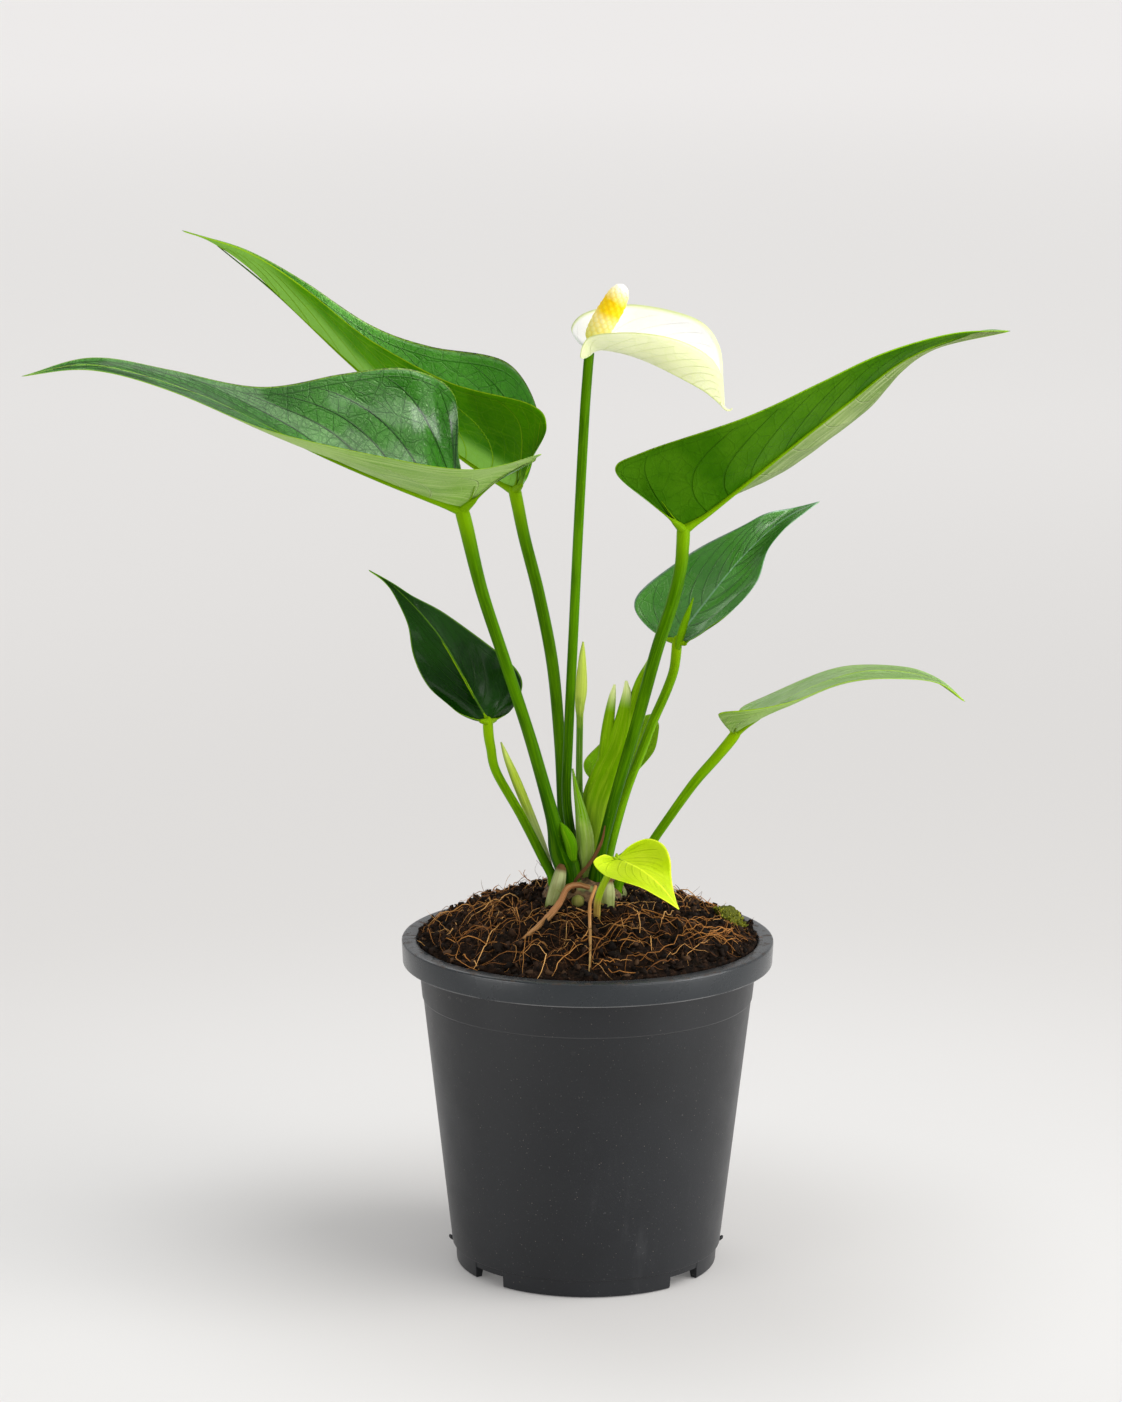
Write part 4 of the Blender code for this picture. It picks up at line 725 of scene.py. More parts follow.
def pot_look():
    """Satin charcoal plastic with faint rings from moulding, scuffs, dust specks and splashes near the rim, painted
    shade below the rim and a painted highlight along the rim's lower edge.
    """
    g = Graph("pot_plastic", 0.42, 0.42, Sheen_Weight=0.07, Sheen_Roughness=0.3)
    height = g.split(g.place())[2]
    outward = g.node("VectorMath", inputs={0: g.place(), 1: (1, 1, 0)}, operation="MULTIPLY")
    radius = g.node("VectorMath", 1, {0: outward}, operation="LENGTH")
    band = g.ease(height, (RIM_BOTTOM - 0.5) * MM, (RIM_BOTTOM - 0.1) * MM)
    # painted shade: the wall goes darker from its middle up to the rim, standing in for the rim's shadow
    under_rim_painted_shade = g.ease(height, 0.05, 0.085) - band
    dust = g.ease(g.cells(520, "F1"), 0.1, 0.05) * g.ease(g.noise(310, 0), 0.46, 0.56)
    fine_dust = g.ease(g.noise(1500, 1, 0.4), 0.7, 0.8)
    scuffs = g.ease(g.noise(60, 5, 0.7, stretch=(1, 1, 0.22)), 0.6, 0.76)
    drops = g.ease(g.cells(150, "F1"), 0.16, 0.1) * g.ease(g.noise(35, 2), 0.52, 0.6)
    drops = drops * g.ease(height, 0.08, 0.104)
    # painted highlight: a thin light line along the rim's lower edge, where its rounding catches the light, broken
    # by noise
    rim_highlight_line = g.ease(abs(height - (RIM_BOTTOM + 0.15) * MM), 0.00035, 0.0001)
    painted_rim_highlight = rim_highlight_line * g.ease(radius, 0.0625, 0.0635) * g.ease(g.noise(60, 3), 0.25, 0.6)
    step = g.ease(abs(height - (STEP_Z + 0.05) * MM), 0.0003, 0.0001)
    dirt = g.ease(height, 0.1155, 0.1161) * g.ease(g.noise(260, 4, 0.7), 0.52, 0.64)
    colour = g.mix(g.ease(g.noise(22, 4, 0.6), 0.3, 0.7), (0.0036, 0.0045, 0.0064), (0.007, 0.0082, 0.0106))
    colour = g.paint(colour, (dust * 0.55, (0.2, 0.17, 0.14)), (fine_dust * 0.2, (0.2, 0.2, 0.2)),
                     (scuffs * 0.06, (0.16, 0.16, 0.165)), (drops * 0.2, (0.1, 0.095, 0.09)),
                     (band * 0.7, (0.017, 0.021, 0.024)), (under_rim_painted_shade * 0.3, (0.002, 0.002, 0.0022)),
                     (painted_rim_highlight, (0.12, 0.12, 0.12)), (step * 0.25, (0.1, 0.1, 0.1)),
                     (dirt * 0.8, (0.035, 0.018, 0.009)))
    rings = g.noise(1.0, 2, at=g.join(0.0, 0.0, height * 900.0))
    rough = g.noise(75, 5, 0.65) * 0.2 + 0.34 - band * 0.17 - drops * 0.12 + dirt * 0.4
    return g.finish(colour, rough, rings * 0.4 + g.noise(2600, 2) * 0.35 + dust * 0.8, 0.06)


def looks():
    """All materials by name."""
    made = {"spadix": spadix_look(), "soil": soil_look(), "crown": crown_look(), "pot": pot_look()}
    for make, table in ((blade_look, BLADE_LOOKS), (stem_look, STEM_LOOKS)):
        for name, (*values, more) in table.items():
            made[name] = make(name, *values, **more)
    for name, values in SCATTER_LOOKS.items():
        made[name] = scatter_look(name, *values)
    return made


# Leaves and flower

def half_blade(leaf, side):
    """Points and row data of one half, rows from the notch to the tip, columns from midrib to margin."""
    name = "left" if side < 0 else "right"
    v = np.linspace(0, 1, leaf["rows"] + 1)
    u = np.linspace(0, 1, leaf["columns"] + 1) ** COLUMN_POWER
    root = np.interp(v, np.linspace(0, 1, len(VEIN_ROOTS)), VEIN_ROOTS)
    dense = smooth(leaf["rib"], np.linspace(0, 1, RIB_SAMPLES))
    length = arc_lengths(dense)

    def at_root(values):
        return np.stack([np.interp(root, length / length[-1], values[:, k]) for k in range(3)], 1)

    start, direction = at_root(dense), unit(at_root(unit(np.gradient(dense, axis=0))))
    across = smooth(leaf[name] + [leaf["rib"][-1]], v) - start
    width = np.linalg.norm(across, axis=1)
    upward = side * unit(np.cross(across, direction))
    forward = side * unit(np.cross(upward, across))
    sag = smooth(leaf.get("sag_" + name, leaf.get("sag")), v) * width[:, None]
    bend = smooth(leaf.get("bend_" + name, (0, 0)), v) * width[:, None]
    arch = (4 * u * (1 - u))[None, :, None]
    grid = start[:, None] + across[:, None] * u[None, :, None] + arch * (bend * forward - sag * upward)[:, None]
    return grid, upward, width, u, v


def vein_map(grid, uu, vv, sweep, shift):
    """The number of veins passed at each point, and the distance in millimetres from one vein to the next."""
    phase = np.interp(vv - sweep * uu**SWEEP_POWER + shift, VEIN_PLACES, np.arange(len(VEIN_PLACES)))
    across, along = np.gradient(grid, axis=1), np.gradient(grid, axis=0)
    p, q = np.gradient(phase, axis=1), np.gradient(phase, axis=0)
    e, f, g = (across**2).sum(-1), (across * along).sum(-1), (along**2).sum(-1)
    slope = (g * p**2 - 2 * f * p * q + e * q**2) / np.maximum(e * g - f**2, 1e-6)
    return phase, np.clip(1 / np.sqrt(np.maximum(slope, 1e-6)), *VEIN_GAPS)


def blade(shape, leaf, unders, thickness, quilt, wave, rib_height, seed=0):
    """Adds both faces of a leaf, with the sheet puffed between its veins and the midrib raised below."""
    halves = [half_blade(leaf, side) for side in (-1, 1)]
    middle = unit(halves[0][1] + halves[1][1])
    for side, under, (grid, upward, width, u, v) in zip((-1, 1), unders[::-1], halves):
        cross = side * np.cross(np.gradient(grid, axis=1), np.gradient(grid, axis=0))
        size = np.linalg.norm(cross, axis=-1, keepdims=True)
        facing = np.where(size > 1e-4, cross / np.maximum(size, 1e-9), upward[:, None])
        facing[:, 0] = middle
        uu, vv = np.meshgrid(u, v)
        width = width[:, None]
        shift = 0.012 * math.sin(9 * seed + 2 * side)
        phase, gap = vein_map(grid, uu, vv, leaf.get("sweep", VEIN_SWEEP), shift)
        hump = np.sin(math.pi * np.mod(phase, 1.0)) ** 0.7
        room = np.clip(gap / QUILT_GAP, 0, 1) * np.clip(width / QUILT_WIDTH, 0, 1)
        room = room * np.sin(math.pi * np.clip(uu, 0, 1)) ** 0.6
        ripple = wave * uu**3 * np.sin(TURN * (WAVES * vv + 0.37 * side + seed)) * np.clip(width / WAVE_WIDTH, 0, 1)
        sheet = grid + facing * (quilt * room * (hump - 0.5) + ripple * np.sin(math.pi * vv))[..., None]
        half = 0.5 * thickness * np.sqrt(np.clip(1 - uu**8, 0, 1))
        reach = width * uu
        ridge = np.exp(-((reach / RIDGE_REACH) ** 2)) * rib_height * (1 - 0.8 * vv) * np.clip(vv / 0.1, 0.6, 1)
        groove = GROOVE * np.exp(-((reach / GROOVE_REACH) ** 2)) * (1 - vv)
        uv, measure = np.stack([phase, gap], -1), np.stack([reach, width - reach], -1) / 10
        shape.grid(sheet + facing * (half - groove)[..., None], uv, measure, 0, flip=side > 0)
        shape.grid(sheet - facing * (half + ridge)[..., None], uv, measure, under, flip=side < 0)


def petiole(shape, leaf, look):
    """The stalk, and the ribs that spread from its top along the underside of the blade."""
    halves = [half_blade(leaf, side) for side in (-1, 1)]
    top, sweep = leaf["radii"][0], leaf.get("sweep", VEIN_SWEEP)
    dome = [np.array(leaf["rib"][0]) + (0, 0, lift) for lift in (1.6, 0.8)]
    radii = (0.3 * top, 0.7 * top, 0.96 * top) + leaf["radii"][1:]
    tube(shape, dome + leaf["stalk"], radii, look=look, sides=22, step=0.8)
    thick = top * np.array(RIB_TAPER)
    root, below = (np.array(point, float) for point in leaf["stalk"][:2])
    neck = [root + 0.5 * unit(below - root) * top, root]
    spans = len(VEIN_ROOTS) - 1
    rows = np.interp(RIB_PLACES, VEIN_ROOTS[2:], np.linspace(2 / spans, 1, spans - 1))
    rows = (rows * leaf["rows"]).astype(int)
    upward = unit(halves[0][1][rows] + halves[1][1][rows])
    rib = smooth(leaf["rib"], RIB_PLACES) - upward * (np.array(RIB_SINK) * thick[2:])[:, None]
    tube(shape, neck + list(rib), thick, look=look, sides=16, step=0.9, before=ALL_JOINT)
    for grid, upward, _, u, v in halves:
        basal, last = [], len(v) - 1
        for share_out in BASAL_SHARES:
            row = int(round((VEIN_PLACES[4] + sweep * share_out**SWEEP_POWER) * last))
            column = int(round(np.interp(share_out, u, np.arange(len(u)))))
            basal.append(grid[row, column] - upward[row] * (0.25 + 0.3 * (1 - share_out)))
        wing = [grid[int(round(place * last)), -1] for place in WING_PLACES]
        for path, taper in ((basal, BASAL_TAPER), (wing, WING_TAPER)):
            tube(shape, path + neck[::-1], top * np.array(taper), look=look, sides=12, step=0.8, before=ALL_JOINT)


def rolled(t, turn):
    """A rolled leaf: the radius shrinks round the turn, so that its free edge shows as a step."""
    return 1.06 - 0.22 * np.mod(turn + 0.3 + 0.12 * t, 1.0)


def rolled_bud(t, turn):
    """The same over the bud itself, on a round stalk."""
    return np.where(t < 0.36, 1.04 - 0.14 * np.mod(turn + 0.25 + 1.2 * t, 1.0), 1.0)


def knotty(t, turn):
    """The uneven skin of a root."""
    return 1 + 0.1 * np.sin(23 * t + 2 * np.sin(TURN * turn)) * np.sin(41 * t + 1.3)


def torn(t, turn):
    """The skin of an old stub: lengthwise folds, deepest at its broken end."""
    return 1 + (0.1 + 0.22 * (1 - t) ** 3) * np.sin(TURN * 5 * turn + 3 * t) * np.sin(TURN * 2 * turn + 1)


def add_leaf(name, leaf, skin):
    shape = Shape()
    kind = SMALL_BLADE if leaf["rows"] < FEW_ROWS else LARGE_BLADE
    blade(shape, leaf, (1, 2), seed=0.13 * len(name), **kind)
    petiole(shape, leaf, 3)
    if name == "leaf_mid_right":
        tube(shape, **FOLDED_SCALE, look=4, relief=rolled)
    if name == "leaf_front_left":
        tube(shape, **STALK_EAR, look=4, step=0.6)
    obj = shape.make(name + ".look", [skin[look] for look in (*leaf["looks"], "stalk_joint")], merge=LEAF_MERGE)
    dress(obj, "young_leaf" if name == "leaf_new_front" else "leaf", name)


def add_flower(skin):
    shape = Shape()
    blade(shape, SPATHE, (1, 1), **SPATHE_BLADE)
    tube(shape, **SPATHE_HOOK, look=1, sides=12, step=0.4)
    spathe = shape.make("spathe.look", [skin["spathe_top"], skin["spathe_underside"]], merge=LEAF_MERGE)
    dress(spathe, "spathe", "spathe")
    add_tubes("flower_stalk", "stalk", skin["flower_stalk"], FLOWER_STALK)
    add_spadix(skin)
    add_tubes("flower_bud", "pale_shoot", skin["bud"], FLOWER_BUD, relief=rolled_bud)


def add_spadix(skin):
    """The spadix with a floret at each point of a spiral lattice: a bead with a pale tip."""
    t, turn = np.linspace(0, 1, SPADIX_RINGS + 1), np.arange(SPADIX_SIDES) / SPADIX_SIDES
    centres, radius = smooth(SPADIX["points"], t), smooth(SPADIX["radii"], t)
    length = arc_lengths(centres)
    nearest = np.full((len(t), len(turn)), 9.0)
    for k in range(FLORETS):
        around = np.abs(turn - k * GOLDEN_TURN % 1.0)
        around = np.minimum(around, 1 - around) * TURN * radius
        nearest = np.minimum(nearest, np.hypot(length[:, None] - length[-1] * (k + 0.5) / FLORETS, around))
    bead = np.clip(1 - (nearest / FLORET_RADIUS) ** 2, 0, 1)
    swollen = radius * 0.95 + FLORET_HEIGHT * bead * np.clip(radius / 2, 0, 1)
    v = np.r_[0, t, 1]
    uv = uv_grid(v, np.arange(SPADIX_SIDES + 1) / SPADIX_SIDES)
    beads = np.pad(np.pad(bead, ((1, 1), (0, 0)), "edge"), ((0, 0), (0, 1)), "wrap")
    shape = Shape()
    shape.grid(rings_round(centres, swollen, turn), uv, np.stack([beads, uv[..., 1]], -1), wrap=True)
    dress(shape.make("spadix.look", [skin["spadix"]]), "spadix", "spadix")


def broken_end(root):
    """The same stub with its upper end drawn in and tilted, as it broke."""
    first, second = (np.array(point) for point in root["points"][:2])
    tip = first + 0.16 * (first - second) + (0.4, 0, 0.5)
    return dict(points=[tip] + root["points"], radii=(0.35 * root["radii"][0],) + root["radii"])


def laid_on_mix(root, lift=0.35, places=14):
    """The same root with closer points, each at least its radius and the lift above the finished mix."""
    t = np.linspace(0, 1, places)
    points, radii = smooth(root["points"], t), smooth(root["radii"], t)[:, 0]
    for point, radius in zip(points, radii):
        point[2] = max(point[2], soil_top(point[0], point[1]) + radius + lift)
    return dict(points=points, radii=radii)


def add_shoots(skin):
    add_tubes("new_shoot", "pale_shoot", skin["pale_shoot"], *NEW_SHOOT, relief=rolled, sides=28)
    for name, (look, sheath) in SHEATHS.items():
        add_tubes(name, "pale_shoot", skin[look], sheath, relief=rolled, sides=24)
    for name, (look, root) in ROOTS.items():
        if name == "aerial_root_thin":
            root = laid_on_mix(root)
        if look == "stem_stub":
            root = broken_end(root)
        relief = torn if look == "stem_stub" else knotty
        add_tubes(name, "root", skin[look], root, relief=relief, sides=16, step=0.5)
    add_tubes("root_bud", "root", skin["root_bud"], ROOT_BUD, step=0.42)


# Pot and mix

def wall_radius(z):
    slope = (WALL_TOP_RADIUS - WALL_FOOT_RADIUS) / (RIM_BOTTOM - FOOT_HEIGHT)
    return WALL_FOOT_RADIUS + slope * (z - FOOT_HEIGHT)


def pot_profile():
    """Outline of the pot in radius and height, with small rounds at its edges."""
    corners = [
        (0, 0, 0), (PAD_RADIUS - 0.5, 0, 0.2), (PAD_RADIUS, 0.5, 0.2), (PAD_RADIUS, FLOOR_UNDER, 0.3),
        (FOOT_RADIUS - 3.2, FLOOR_UNDER, 0.3), (FOOT_RADIUS - 2.4, 0, 0.3), (FOOT_RADIUS - 0.1, 0, 0.4),
        (FOOT_RADIUS + 0.3, FOOT_HEIGHT - 0.3, 0.1), (WALL_FOOT_RADIUS, FOOT_HEIGHT + 0.1, 0.3),
        (wall_radius(STEP_Z) - 0.2, STEP_Z - 0.25, 0.1), (wall_radius(STEP_Z) + 0.15, STEP_Z + 0.15, 0.1),
        (WALL_TOP_RADIUS, RIM_BOTTOM, 0.1), (WALL_TOP_RADIUS + 0.2, POT_HEIGHT - 2.2, 0.1),
        (RIM_RADIUS - 1.8, POT_HEIGHT - 2.2, 0.1), (RIM_RADIUS - 1.6, RIM_BOTTOM, 0.2),
        (RIM_RADIUS - 0.4, RIM_BOTTOM, 0.35), (RIM_RADIUS, POT_HEIGHT, 0.9),
        (RIM_RADIUS - LIP_WIDTH, POT_HEIGHT, 0.8), (WALL_TOP_RADIUS - WALL, RIM_BOTTOM - 1, 0.3),
        (WALL_FOOT_RADIUS - WALL - 0.2, FLOOR_TOP, 0.5), (0, FLOOR_TOP, 0)]
    outline = []
    for k, (r, z, round_by) in enumerate(corners):
        if not round_by:
            outline.append((r, z))
            continue
        here = np.array([r, z])
        ways = [np.array(corners[k + d][:2]) - here for d in (-1, 1)]
        a, b = (here + unit(way) * min(round_by, 0.45 * np.linalg.norm(way)) for way in ways)
        outline += [(1 - f) ** 2 * a + 2 * f * (1 - f) * here + f * f * b for f in (0.0, 0.25, 0.5, 0.75, 1.0)]
    return np.array(outline)


def add_pot(skin):
    """The turned pot. Columns close to each notch's ends keep its corners crisp."""
    half = math.degrees(NOTCH_WIDTH / 2 / FOOT_RADIUS)
    middles = [(angle - 90) % 360 for angle in NOTCH_ANGLES]
    close = [(middle + end + gap) % 360 for middle in middles for end in (-half, half) for gap in (-0.25, 0.25)]
    turns = np.array(sorted({round(float(turn), 3) for turn in [*np.arange(0, 360, POT_TURN_STEP), *close]}))
    notched = np.any([np.abs((turns - middle + 180) % 360 - 180) < half for middle in middles], axis=0)
    outline, radians = pot_profile(), np.radians(turns)
    r, z = outline[:, :1], outline[:, 1:]
    foot = (r > FOOT_RADIUS - 4) & (z < NOTCH_HEIGHT)
    height = z + np.where(foot & notched, NOTCH_HEIGHT - z, 0)
    shape = Shape()
    uv = uv_grid(outline[:, 1], np.r_[turns, 360] / 10)
    shape.grid(np.stack([r * np.cos(radians), r * np.sin(radians), height], -1), uv, wrap=True)
    pot = shape.make("pot.look", [skin["pot"]], merge=POT_MERGE)
    drains = Shape()
    for k in range(DRAIN_COUNT):
        angle = TURN * (k + 0.5) / DRAIN_COUNT
        x, y = DRAIN_CIRCLE * math.cos(angle), DRAIN_CIRCLE * math.sin(angle)
        tube(drains, [(x, y, z) for z in (8, 6, 4, 2)], (DRAIN_RADIUS,) * 4, sides=28, step=5)
    cutter = drains.make("drains", [skin["pot"]], merge=POT_MERGE)
    cut = pot.modifiers.new("Drain holes", "BOOLEAN")
    cut.operation, cut.solver, cut.object = "DIFFERENCE", "MANIFOLD", cutter
    bpy.context.view_layer.update()
    pot.data = bpy.data.meshes.new_from_object(pot.evaluated_get(bpy.context.evaluated_depsgraph_get()))
    pot.modifiers.clear()
    bpy.data.objects.remove(cutter)
    pot.data.set_sharp_from_angle(angle=math.radians(POT_SHARP_ANGLE))
    nubs = Shape()
    for side in (-1, 1):
        path = [(side * (FOOT_RADIUS + out), 0, FOOT_HEIGHT + up) for out, up in NUB_PATH]
        tube(nubs, path, NUB_RADII, step=0.4)
    dress(nubs.make("pot_nubs", [skin["pot"]]), "pot")
    dress(pot, "pot", "pot")


def soil_height(x, y):
    """Height of the mix over its edge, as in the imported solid."""
    r = np.hypot(x, y)
    mound = (SOIL_TOP_Z - SOIL_EDGE_Z) * (1 - np.minimum(r / 57.5, 1) ** 2.2)
    crumbs = 0.9 * np.sin(0.55 * x + 1.3) * np.sin(0.62 * y + 0.4) + 0.7 * np.sin(0.31 * x - 0.44 * y + 2)
    return float(mound + crumbs * np.clip((r - 14) / 10, 0, 1))


def rough(x, y, scale, octaves=4):
    return noise.fractal(Vector((x * scale, y * scale, 0.37)), 0.8, 2.1, octaves)


def soil_top(x, y):
    """The finished surface: the solid's height with lumps from coarse to fine."""
    bent = x * 0.21 + 0.8 * rough(x, y, 0.3, 2), y * 0.21 + 0.8 * rough(y, x, 0.3, 2)
    clods = noise.cell(Vector((*bent, 0.5)))
    lumps = (1.2 * rough(x, y, 0.14) + 0.9 * abs(rough(x, y, 0.33, 3)) + 0.5 * rough(x, y, 0.8, 3)
             + 0.5 * clods - 0.8)
    at_edge = min(max((SOIL_RADIUS - math.hypot(x, y)) / 5, 0.25), 1.0)
    return min(SOIL_EDGE_Z - 0.4 + soil_height(x, y) + lumps * at_edge, SOIL_CEILING)


def add_soil(skin):
    """The mix: its rough surface, and plain sides that follow the inside of the pot."""
    radii = SOIL_RADIUS * np.linspace(0, 1, SOIL_RINGS + 1) ** 0.75
    turn = TURN * np.arange(SOIL_SIDES) / SOIL_SIDES
    x, y = radii[:, None] * np.cos(turn), radii[:, None] * np.sin(turn)
    z = np.array([[soil_top(a, b) for a, b in zip(*row)] for row in zip(x, y)])
    z[0] = z[0, 0]
    wall_in, foot_in = WALL_TOP_RADIUS - WALL - 0.3, WALL_FOOT_RADIUS - WALL - 0.3
    below = [(SOIL_RADIUS - 0.1, POT_HEIGHT - 1.2), (wall_in, RIM_BOTTOM - 1), (foot_in, FLOOR_TOP + 1.4),
             (foot_in - 1.1, FLOOR_TOP + 0.3), (0, FLOOR_TOP + 0.3)]
    sides = [np.stack([r * np.cos(turn), r * np.sin(turn), 0 * turn + height], -1) for r, height in below]
    grid = np.concatenate([np.stack([x, y, z], -1), sides])
    shape = Shape()
    shape.grid(grid, uv_grid(np.arange(len(grid)) / 20, np.arange(SOIL_SIDES + 1) / 20), wrap=True, flip=True)
    dress(shape.make("soil.look", [skin["soil"]], merge=POT_MERGE), "soil", "soil")


def polar(radius, turn):
    return radius * math.cos(turn), radius * math.sin(turn)


def skewed(pick, least, more, power):
    """A random size, mostly near the least."""
    return least + more * pick.random() ** power


def clear_of_stems(x, y):
    return math.hypot(x - CROWN_CENTRE[0], y - CROWN_CENTRE[1]) > CROWN_RADIUS - 1


class Heap:
    """Many small pieces that become one object, each with its own shade in the UV layer."""

    def __init__(self):
        self.points, self.faces, self.shades = [], [], []

    def add(self, points, faces, shade):
        base = len(self.points)
        self.points += points
        self.faces += [[base + k for k in face] for face in faces]
        self.shades += [shade] * len(faces)

    def thread(self, path, radius, shade, sides):
        """Adds one fibre along a path of points, tapering to both ends."""
        path = np.asarray(path)
        wide, deep = across_line(path, THREAD_START)
        last, points, faces = len(path) - 1, [], []
        for k, middle in enumerate(path):
            taper = radius * (0.35 + 0.65 * math.sin(math.pi * min(max(k / last, 0.08), 0.92)))
            for a in (TURN * s / sides for s in range(sides)):
                points.append(middle + taper * (math.cos(a) * wide[k] + math.sin(a) * deep[k]))
        for k in range(0, last * sides, sides):
            for s in range(sides):
                n = (s + 1) % sides
                faces.append([k + s, k + sides + s, k + sides + n, k + n])
        faces += [range(sides), range((last + 1) * sides - 1, last * sides - 1, -1)]
        self.add(points, faces, shade)

    def make(self, name, slot, skin):
        mesh = bpy.data.meshes.new(name)
        mesh.from_pydata([Vector(p) * MM for p in self.points], [], self.faces)
        layer = mesh.uv_layers.new(name="UVMap").data
        for polygon, shade in zip(mesh.polygons, self.shades):
            polygon.use_smooth = True
            for loop in polygon.loop_indices:
                layer[loop].uv = (shade, 0.5)
        mesh.materials.append(skin[name])
        dress(placed(name, mesh), slot)


def add_crumbs(skin):
    """Small irregular lumps of peat and bark strewn over the mix."""
    pick = random.Random(CRUMB_SEED)
    ball = bmesh.new()
    bmesh.ops.create_icosphere(ball, subdivisions=1, radius=1)
    corners = [v.co.copy() for v in ball.verts]
    faces = [[v.index for v in f.verts] for f in ball.faces]
    ball.free()
    heap = Heap()
    while len(heap.faces) < CRUMBS * len(faces):
        r = CRUMB_REACH * math.sqrt(pick.random())
        x, y = polar(r, TURN * pick.random())
        if not clear_of_stems(x, y):
            continue
        size = skewed(pick, *CRUMB_SIZE)
        if r > CRUMB_EDGE:
            size = min(size, EDGE_CRUMB)
        angle = HEADINGS * pick.random()
        tilt = Matrix.Rotation(angle, 3, Vector([pick.random() for _ in range(3)]).normalized())
        stretch = Vector((size * (0.7 + 0.9 * pick.random()), size, size * (0.5 + 0.4 * pick.random())))
        shade = pick.random() ** 1.6
        middle = Vector((x, y, soil_top(x, y) + 0.25 * size))
        heap.add([(tilt @ (corner * stretch)) * (1 + 1.5 * noise.noise(corner * 2.3 + middle)) + middle
                  for corner in corners], faces, shade)
    heap.make("soil_crumbs", "soil", skin)


def add_fibres(skin):
    """Coir fibres and fine roots: most lie in long curves over the mix, and some stand up, most of all behind."""
    pick = random.Random(FIBRE_SEED)
    heap, made = Heap(), 0
    while made < FIBRES:
        r = FIBRE_REACH * math.sqrt(pick.random())
        x, y = polar(r, TURN * pick.random())
        stands = pick.random() < (STANDING_BEHIND if y > 10 else STANDING_ELSEWHERE)
        heading, bend = HEADINGS * pick.random(), pick.gauss(0, 0.11)
        length = skewed(pick, *FIBRE_LENGTH)
        if stands:
            length = skewed(pick, *STANDING_LENGTH)
        lean, arch = skewed(pick, *FIBRE_LEAN), skewed(pick, *FIBRE_ARCH)
        path = []
        for k in range(FIBRE_STEPS + 1):
            f = k / FIBRE_STEPS
            r = math.hypot(x, y)
            if r > FIBRE_END or not clear_of_stems(x, y):
                break
            ground = soil_top(x, y) if r < SOIL_RADIUS else POT_HEIGHT + 0.4
            if stands:
                ground = ground * (1 - f) + path[0][2] * f if path else ground
                lift = length * math.sin(lean) * f * (1.25 - 0.35 * f)
            else:
                lift = arch * math.sin(math.pi * f) + 0.05
            path.append((x, y, ground + lift))
            heading += bend + pick.gauss(0, 0.13)
            step = polar(length / FIBRE_STEPS * (math.cos(lean) if stands else 1.0), heading)
            x, y = x + step[0], y + step[1]
        if len(path) > FIBRE_STEPS:
            made += 1
            thick = skewed(pick, *FIBRE_THICKNESS)
            heap.thread(path, thick, pick.random() ** (1.5 if stands else 0.9), 5)
    for _ in range(BUNDLE["count"]):
        x, y = BUNDLE["start"][0] + pick.gauss(0, 3.2), BUNDLE["start"][1] + pick.gauss(0, 2.6)
        heading, bend = BUNDLE["heading"] + pick.gauss(0, 0.3), pick.gauss(0, 0.05)
        stride, path = (18 + 14 * pick.random()) / BUNDLE["steps"], []
        for f in np.linspace(0, 1, BUNDLE["steps"] + 1):
            path.append((x, y, soil_top(min(x, FIBRE_REACH), y) + 0.5 + 3.0 * math.sin(math.pi * f)))
            heading += bend
            x, y = x + stride * math.cos(heading), y + stride * math.sin(heading)
            if math.hypot(x, y) > FIBRE_REACH:
                break
        if len(path) > 4:
            heap.thread(path, 0.12 + 0.06 * pick.random(), 0.42 + 0.35 * pick.random(), 6)
    heap.make("coir_fibres", "soil", skin)


def add_moss(skin):
    """A cushion of small pointed moss leaves over its solid."""
    pick = random.Random(MOSS_SEED)
    heap = Heap()
    (x0, y0), radius, height = MOSS.values()
    for _ in range(MOSS_LEAVES):
        r = radius * 0.95 * math.sqrt(pick.random())
        dx, dy = polar(r, MOSS_TURN * pick.random())
        x, y = x0 + dx, y0 + dy
        base = SOIL_EDGE_Z + soil_height(x, y) + height * (1 - (r / radius) ** 2) * 0.8
        lean_x, lean_y = (0.9 * d / radius + pick.gauss(0, 0.4) for d in (dx, dy))
        tall = 0.5 + 0.9 * pick.random()
        path = [(x + lean_x * f * tall, y + lean_y * f * tall, base + tall * f * (1.2 - 0.4 * f))
                for f in (0, 0.35, 0.7, 1.0)]
        heap.thread(path, 0.26, pick.random(), 3)
    heap.make("moss_leaves", "moss", skin)


# Stage

def add_camera():
    data = bpy.data.cameras.new("camera")
    data.lens, data.sensor_width, data.sensor_fit = LENS, SENSOR, "AUTO"
    camera = placed("camera", data)
    turn = Matrix.Rotation(math.pi / 2 - CAMERA_PITCH, 4, "X") @ Matrix.Rotation(CAMERA_ROLL, 4, "Z")
    camera.matrix_world = Matrix.Translation(Vector(CAMERA_PLACE) * MM) @ turn
    bpy.context.scene.camera = camera


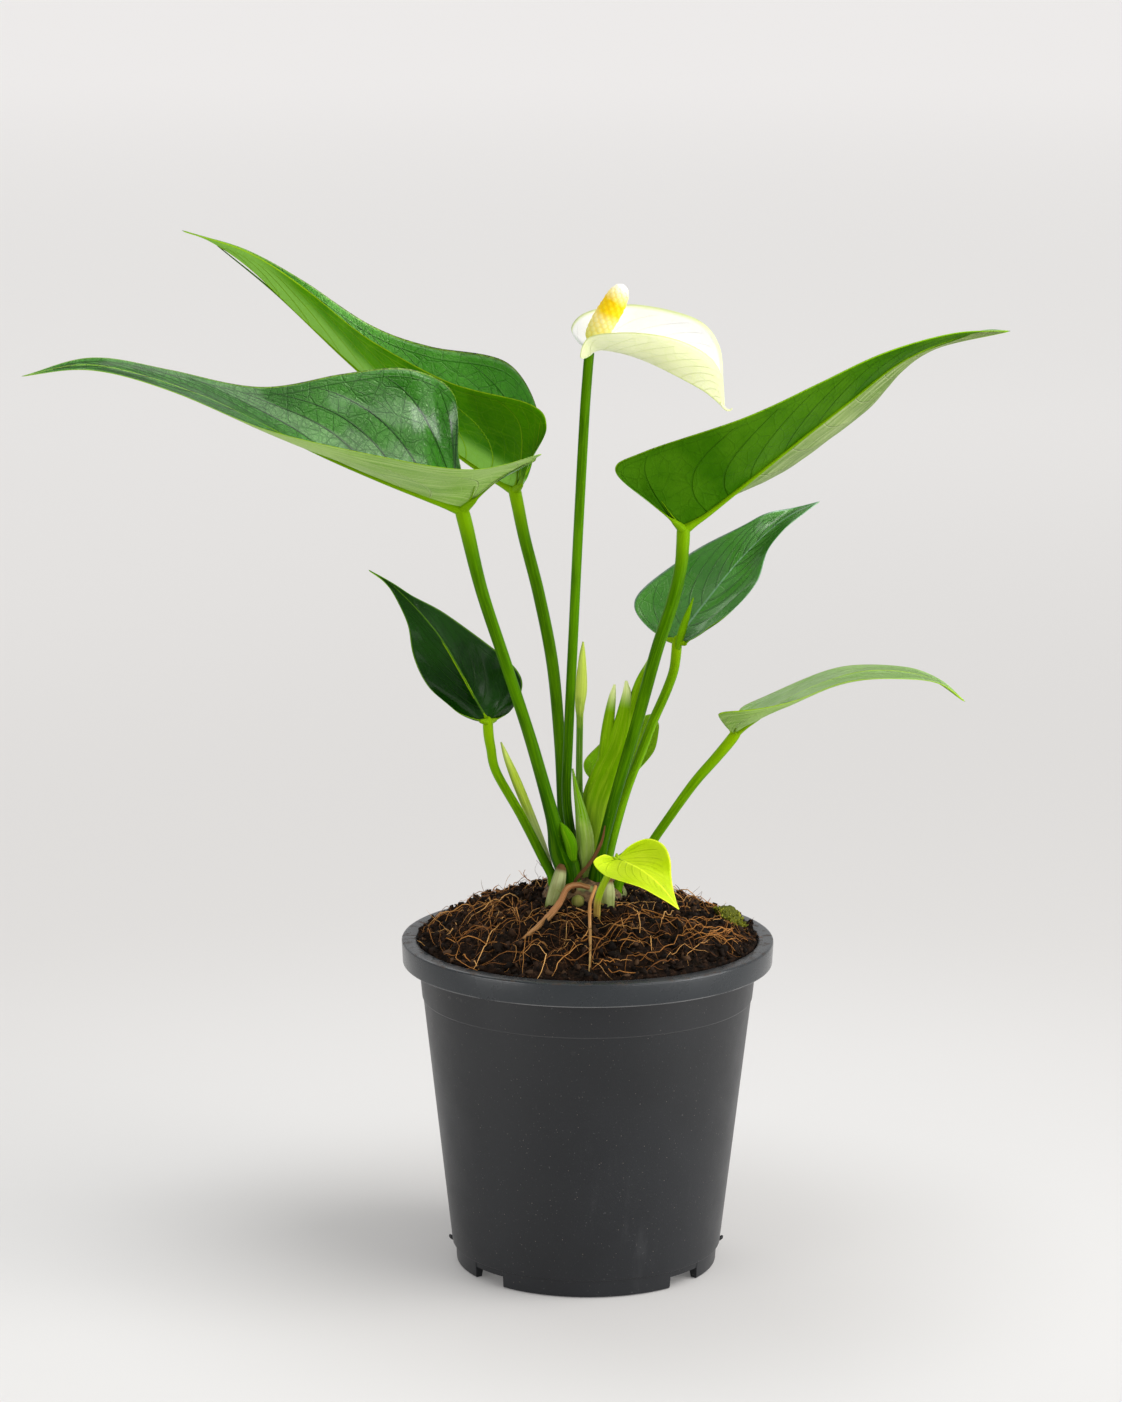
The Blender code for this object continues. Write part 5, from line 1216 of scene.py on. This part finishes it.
def add_stage():
    """A wide pale floor that glows a little, so that its shadows stay as faint as in the studio. Its shades paint a
    shadow round the pot's foot and paint light far out, where the lamps fall off.
    """
    mesh = bpy.data.meshes.new("floor")
    corners = [(*polar(FLOOR_RADIUS, TURN * k / FLOOR_SIDES), FLOOR_Z) for k in range(FLOOR_SIDES)]
    mesh.from_pydata(corners, [], [range(FLOOR_SIDES)])
    g = Graph("floor", 0.8, 0.1)
    radius = g.node("VectorMath", 1, {0: g.place()}, operation="LENGTH")
    # the zones paint a shadow round the pot's foot and paint light that brightens the floor far out
    level = g.paint(FLOOR_MIDDLE, *[(g.ease(radius, start, end), shade) for shade, start, end in FLOOR_PAINTED_LIGHT_AND_SHADOW])
    g.fill(Emission_Color=level, Emission_Strength=FLOOR_GLOW)
    mesh.materials.append(g.finish(g.shade(level, (FLOOR_SHARE,) * 3)))
    floor = placed("floor", mesh)


def add_lamp(name, kind, towards, place=(0, 0, 0), **settings):
    data = bpy.data.lights.new(name, kind)
    for key, value in settings.items():
        setattr(data, key, value)
    lamp = placed(name, data)
    lamp.location, lamp.rotation_euler = place, Vector(towards).to_track_quat("-Z", "Y").to_euler()


def add_lights():
    world = bpy.data.worlds.new("studio")
    bpy.context.scene.world = world
    world.use_nodes = True
    background = world.node_tree.nodes["Background"].inputs
    background[0].default_value, background[1].default_value = ROOM_COLOUR, ROOM_LEVEL
    add_lamp("key", "SUN", **KEY)
    for name, (place, target, size, power) in PANELS.items():
        add_lamp(name, "AREA", Vector(target) - Vector(place), place, energy=power, shape="RECTANGLE",
                 size=size[0], size_y=size[1])


def main():
    bpy.context.scene.view_settings.view_transform = "Standard"
    add_camera()
    add_stage()
    add_lights()
    skin = looks()
    for name, leaf in LEAVES.items():
        add_leaf(name, leaf, skin)
    for add in (add_flower, add_shoots, add_pot, add_soil, add_crumbs, add_fibres, add_moss):
        add(skin)
    for name, look in (("crown", "crown"), ("moss", "moss_leaves")):
        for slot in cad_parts[name].material_slots:
            slot.material = skin[look]


main()
